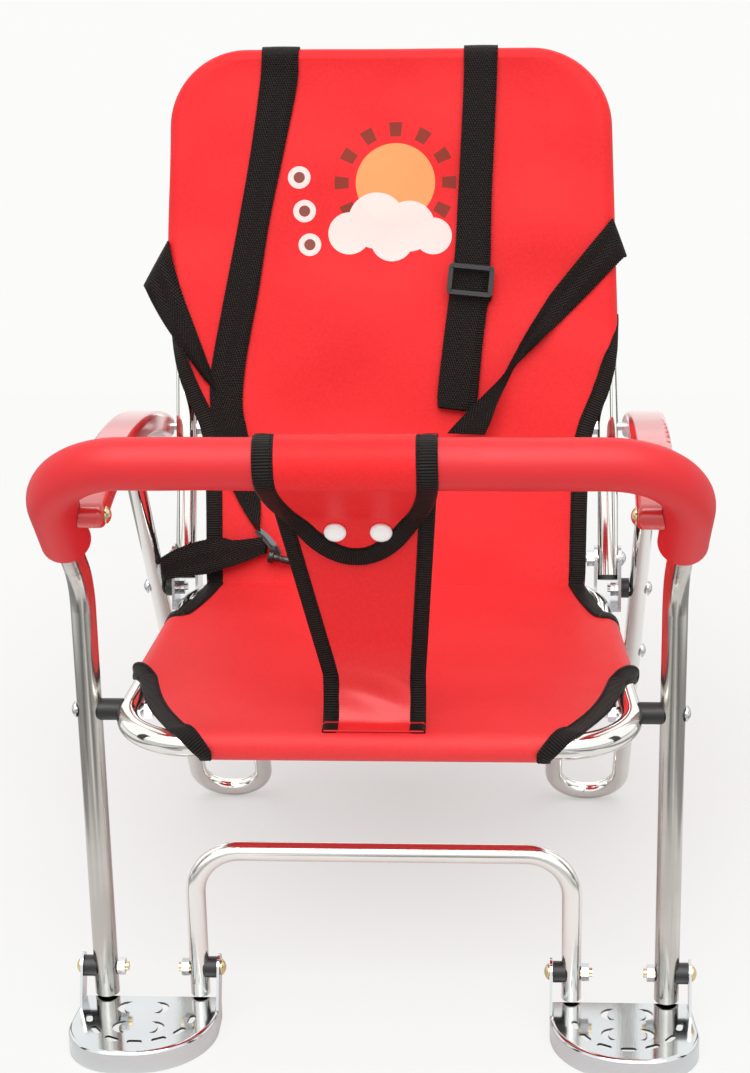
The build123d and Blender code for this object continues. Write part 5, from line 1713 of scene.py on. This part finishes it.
@dataclass
class Studio:
    """White floor, soft light and dark cards that draw lines in the chrome."""

    floor_colour: Colour = (0.74, 0.74, 0.735)
    sky: float = 0.66
    key: float = 2.36
    key_tilt: float = 28.0
    key_spread: float = 60.0
    glow_colour: Colour = (0.95, 0.955, 0.94)
    glow: float = 0.4
    # Share of glow in front of the seat, painted light over its shadow there
    glow_front: float = 0.85
    glow_y: tuple[float, float] = (-4.08, -3.8)
    seen_sky: Colour = (1.43, 1.43, 1.42)
    room_z: tuple[float, float] = (-0.02, 0.14)
    room: tuple[float, float] = (0.25, 1.9)

    def build(self) -> None:
        """Make the floor, the world, the lamp and the cards."""
        self.floor()
        self.world()
        self.lamp()
        self.cards()
        bpy.context.scene.view_settings.view_transform = "Standard"

    def floor(self) -> None:
        """White floor that keeps the seat's shadow, but glows for the camera, more in front, which paints
        light over the shadow there.
        """
        deselect()
        bpy.ops.mesh.primitive_plane_add(size=24.0, location=(0, 4, -0.0005))
        floor = bpy.context.object
        floor.name = "floor"
        material = bpy.data.materials.new("floor")
        material.use_nodes = True
        t = Tree(material.node_tree)
        shader = material.node_tree.nodes["Principled BSDF"]
        place = t.add("ShaderNodeTexCoord")
        grain = t.noise(place.outputs["Object"], 3.0, 2.0)
        shade = t.mix(grain, rgba(self.floor_colour), rgba(self.floor_colour, 0.985))
        t.link(shade, shader.inputs["Base Color"])
        socket_value(shader, "Roughness", 0.9)
        socket_value(shader, "Specular IOR Level", 0.1)
        path, glow = t.add("ShaderNodeLightPath"), t.add("ShaderNodeEmission")
        both = t.add("ShaderNodeMixShader")
        socket_value(glow, "Color", rgba(self.glow_colour))
        # Painted light: the floor glows more in front of the seat than behind it, which lightens the seat's
        # shadow in front.
        share = t.ramp(t.split(place.outputs["Object"])[1], self.glow_y, (self.glow_front, self.glow))
        t.link(t.math("MULTIPLY", path.outputs["Is Camera Ray"], share), both.inputs[0])
        t.link(shader.outputs[0], both.inputs[1])
        t.link(glow.outputs[0], both.inputs[2])
        t.link(both.outputs[0], material.node_tree.nodes["Material Output"].inputs["Surface"])
        floor.data.materials.append(material)

    def world(self) -> None:
        """White sky, which reflections see as a room that is darker towards the floor."""
        world = bpy.data.worlds.new("studio")
        world.use_nodes = True
        bpy.context.scene.world = world
        t = Tree(world.node_tree)
        background = world.node_tree.nodes["Background"]
        place, path = t.add("ShaderNodeTexCoord"), t.add("ShaderNodeLightPath")
        parts = t.split(place.outputs["Generated"])
        behind = t.math("MULTIPLY", t.math("MINIMUM", parts[1], 0.4), 3.2)
        room = t.math("MAXIMUM", t.ramp(parts[2], self.room_z, self.room), behind)
        lit = t.mix(path.outputs["Is Camera Ray"], rgba((1.0, 1.0, 1.0)), rgba(self.seen_sky))
        t.link(t.mix(path.outputs["Is Glossy Ray"], lit, room), background.inputs["Color"])
        socket_value(background, "Strength", self.sky)

    def lamp(self) -> None:
        """Wide soft key light from above the camera."""
        sun = bpy.data.objects.new("key", bpy.data.lights.new("key", "SUN"))
        sun.data.energy = self.key
        sun.data.angle = math.radians(self.key_spread)
        sun.rotation_euler = (math.radians(self.key_tilt), 0, 0)
        bpy.context.scene.collection.objects.link(sun)

    def cards(self) -> None:
        """Grey cards on the floor in front of the view, and upright ones round it."""
        flat = (
            (0.0, 4.2, 0.3), (-0.5, 0.22, 0.04), (-0.16, 0.1, 0.7), (0.02, 0.14, 0.05), (0.3, 0.1, 0.65),
            (0.55, 0.2, 0.05), (-0.95, 0.3, 0.6), (1.0, 0.35, 0.55))
        for k, (x, wide, shade) in enumerate(flat):
            self.card(f"floor_card_{k}", (x, -2.0, 0.001 + 0.001 * k), (0, 0, 0), (wide, 3.2), shade)
        beside = ((-0.62, 0.1, 0.34, 1.5), (0.62, 0.1, 0.34, 1.5), (0.0, 0.95, 3.0, 0.5))
        for k, (x, y, wide, long) in enumerate(beside):
            self.card(f"rear_card_{k}", (x, y, 0.001), (0, 0, 0), (wide, long), 0.22)
        upright, reach = ((-75, 0.5, 0.05), (78, 0.5, 0.05), (140, 0.4, 0.2), (220, 0.4, 0.2)), 2.4
        for k, (angle, wide, shade) in enumerate(upright):
            a = math.radians(angle)
            place = (reach * math.sin(a), -reach * math.cos(a), 0.9)
            self.card(f"side_card_{k}", place, (math.pi / 2, 0, a), (wide, 1.8), shade)

    def card(self, name: str, place: tuple[float, float, float], turn: tuple[float, float, float],
             size: tuple[float, float], shade: float) -> None:
        """One card that only reflections see.

        Args:
            name: Name of the card.
            place: Its middle, in metres.
            turn: Its rotation.
            size: Width and length, in metres.
            shade: How light it is.
        """
        deselect()
        bpy.ops.mesh.primitive_plane_add(size=1.0, location=place, rotation=turn)
        card = bpy.context.object
        card.name = name
        card.scale = (*size, 1.0)
        look = bpy.data.materials.new(name)
        look.use_nodes = True
        socket_value(look.node_tree.nodes["Principled BSDF"], "Base Color", (shade, shade, shade * 0.98, 1.0))
        card.data.materials.append(look)
        card.visible_camera = False
        card.visible_diffuse = False
        card.visible_shadow = False


def main() -> None:
    """Build everything in order."""
    logging.basicConfig(level=logging.INFO)
    FrameFinishes().dress()
    back = BackCover()
    seat = SeatCover()
    back.build()
    seat.build()
    EdgeTapes(seat, back).build()
    foam = FoamBar().build()
    CrotchStrap().build(seat, foam)
    Harness(back).build()
    Studio().build()
    Camera().build()


if __name__ == "__main__":
    main()
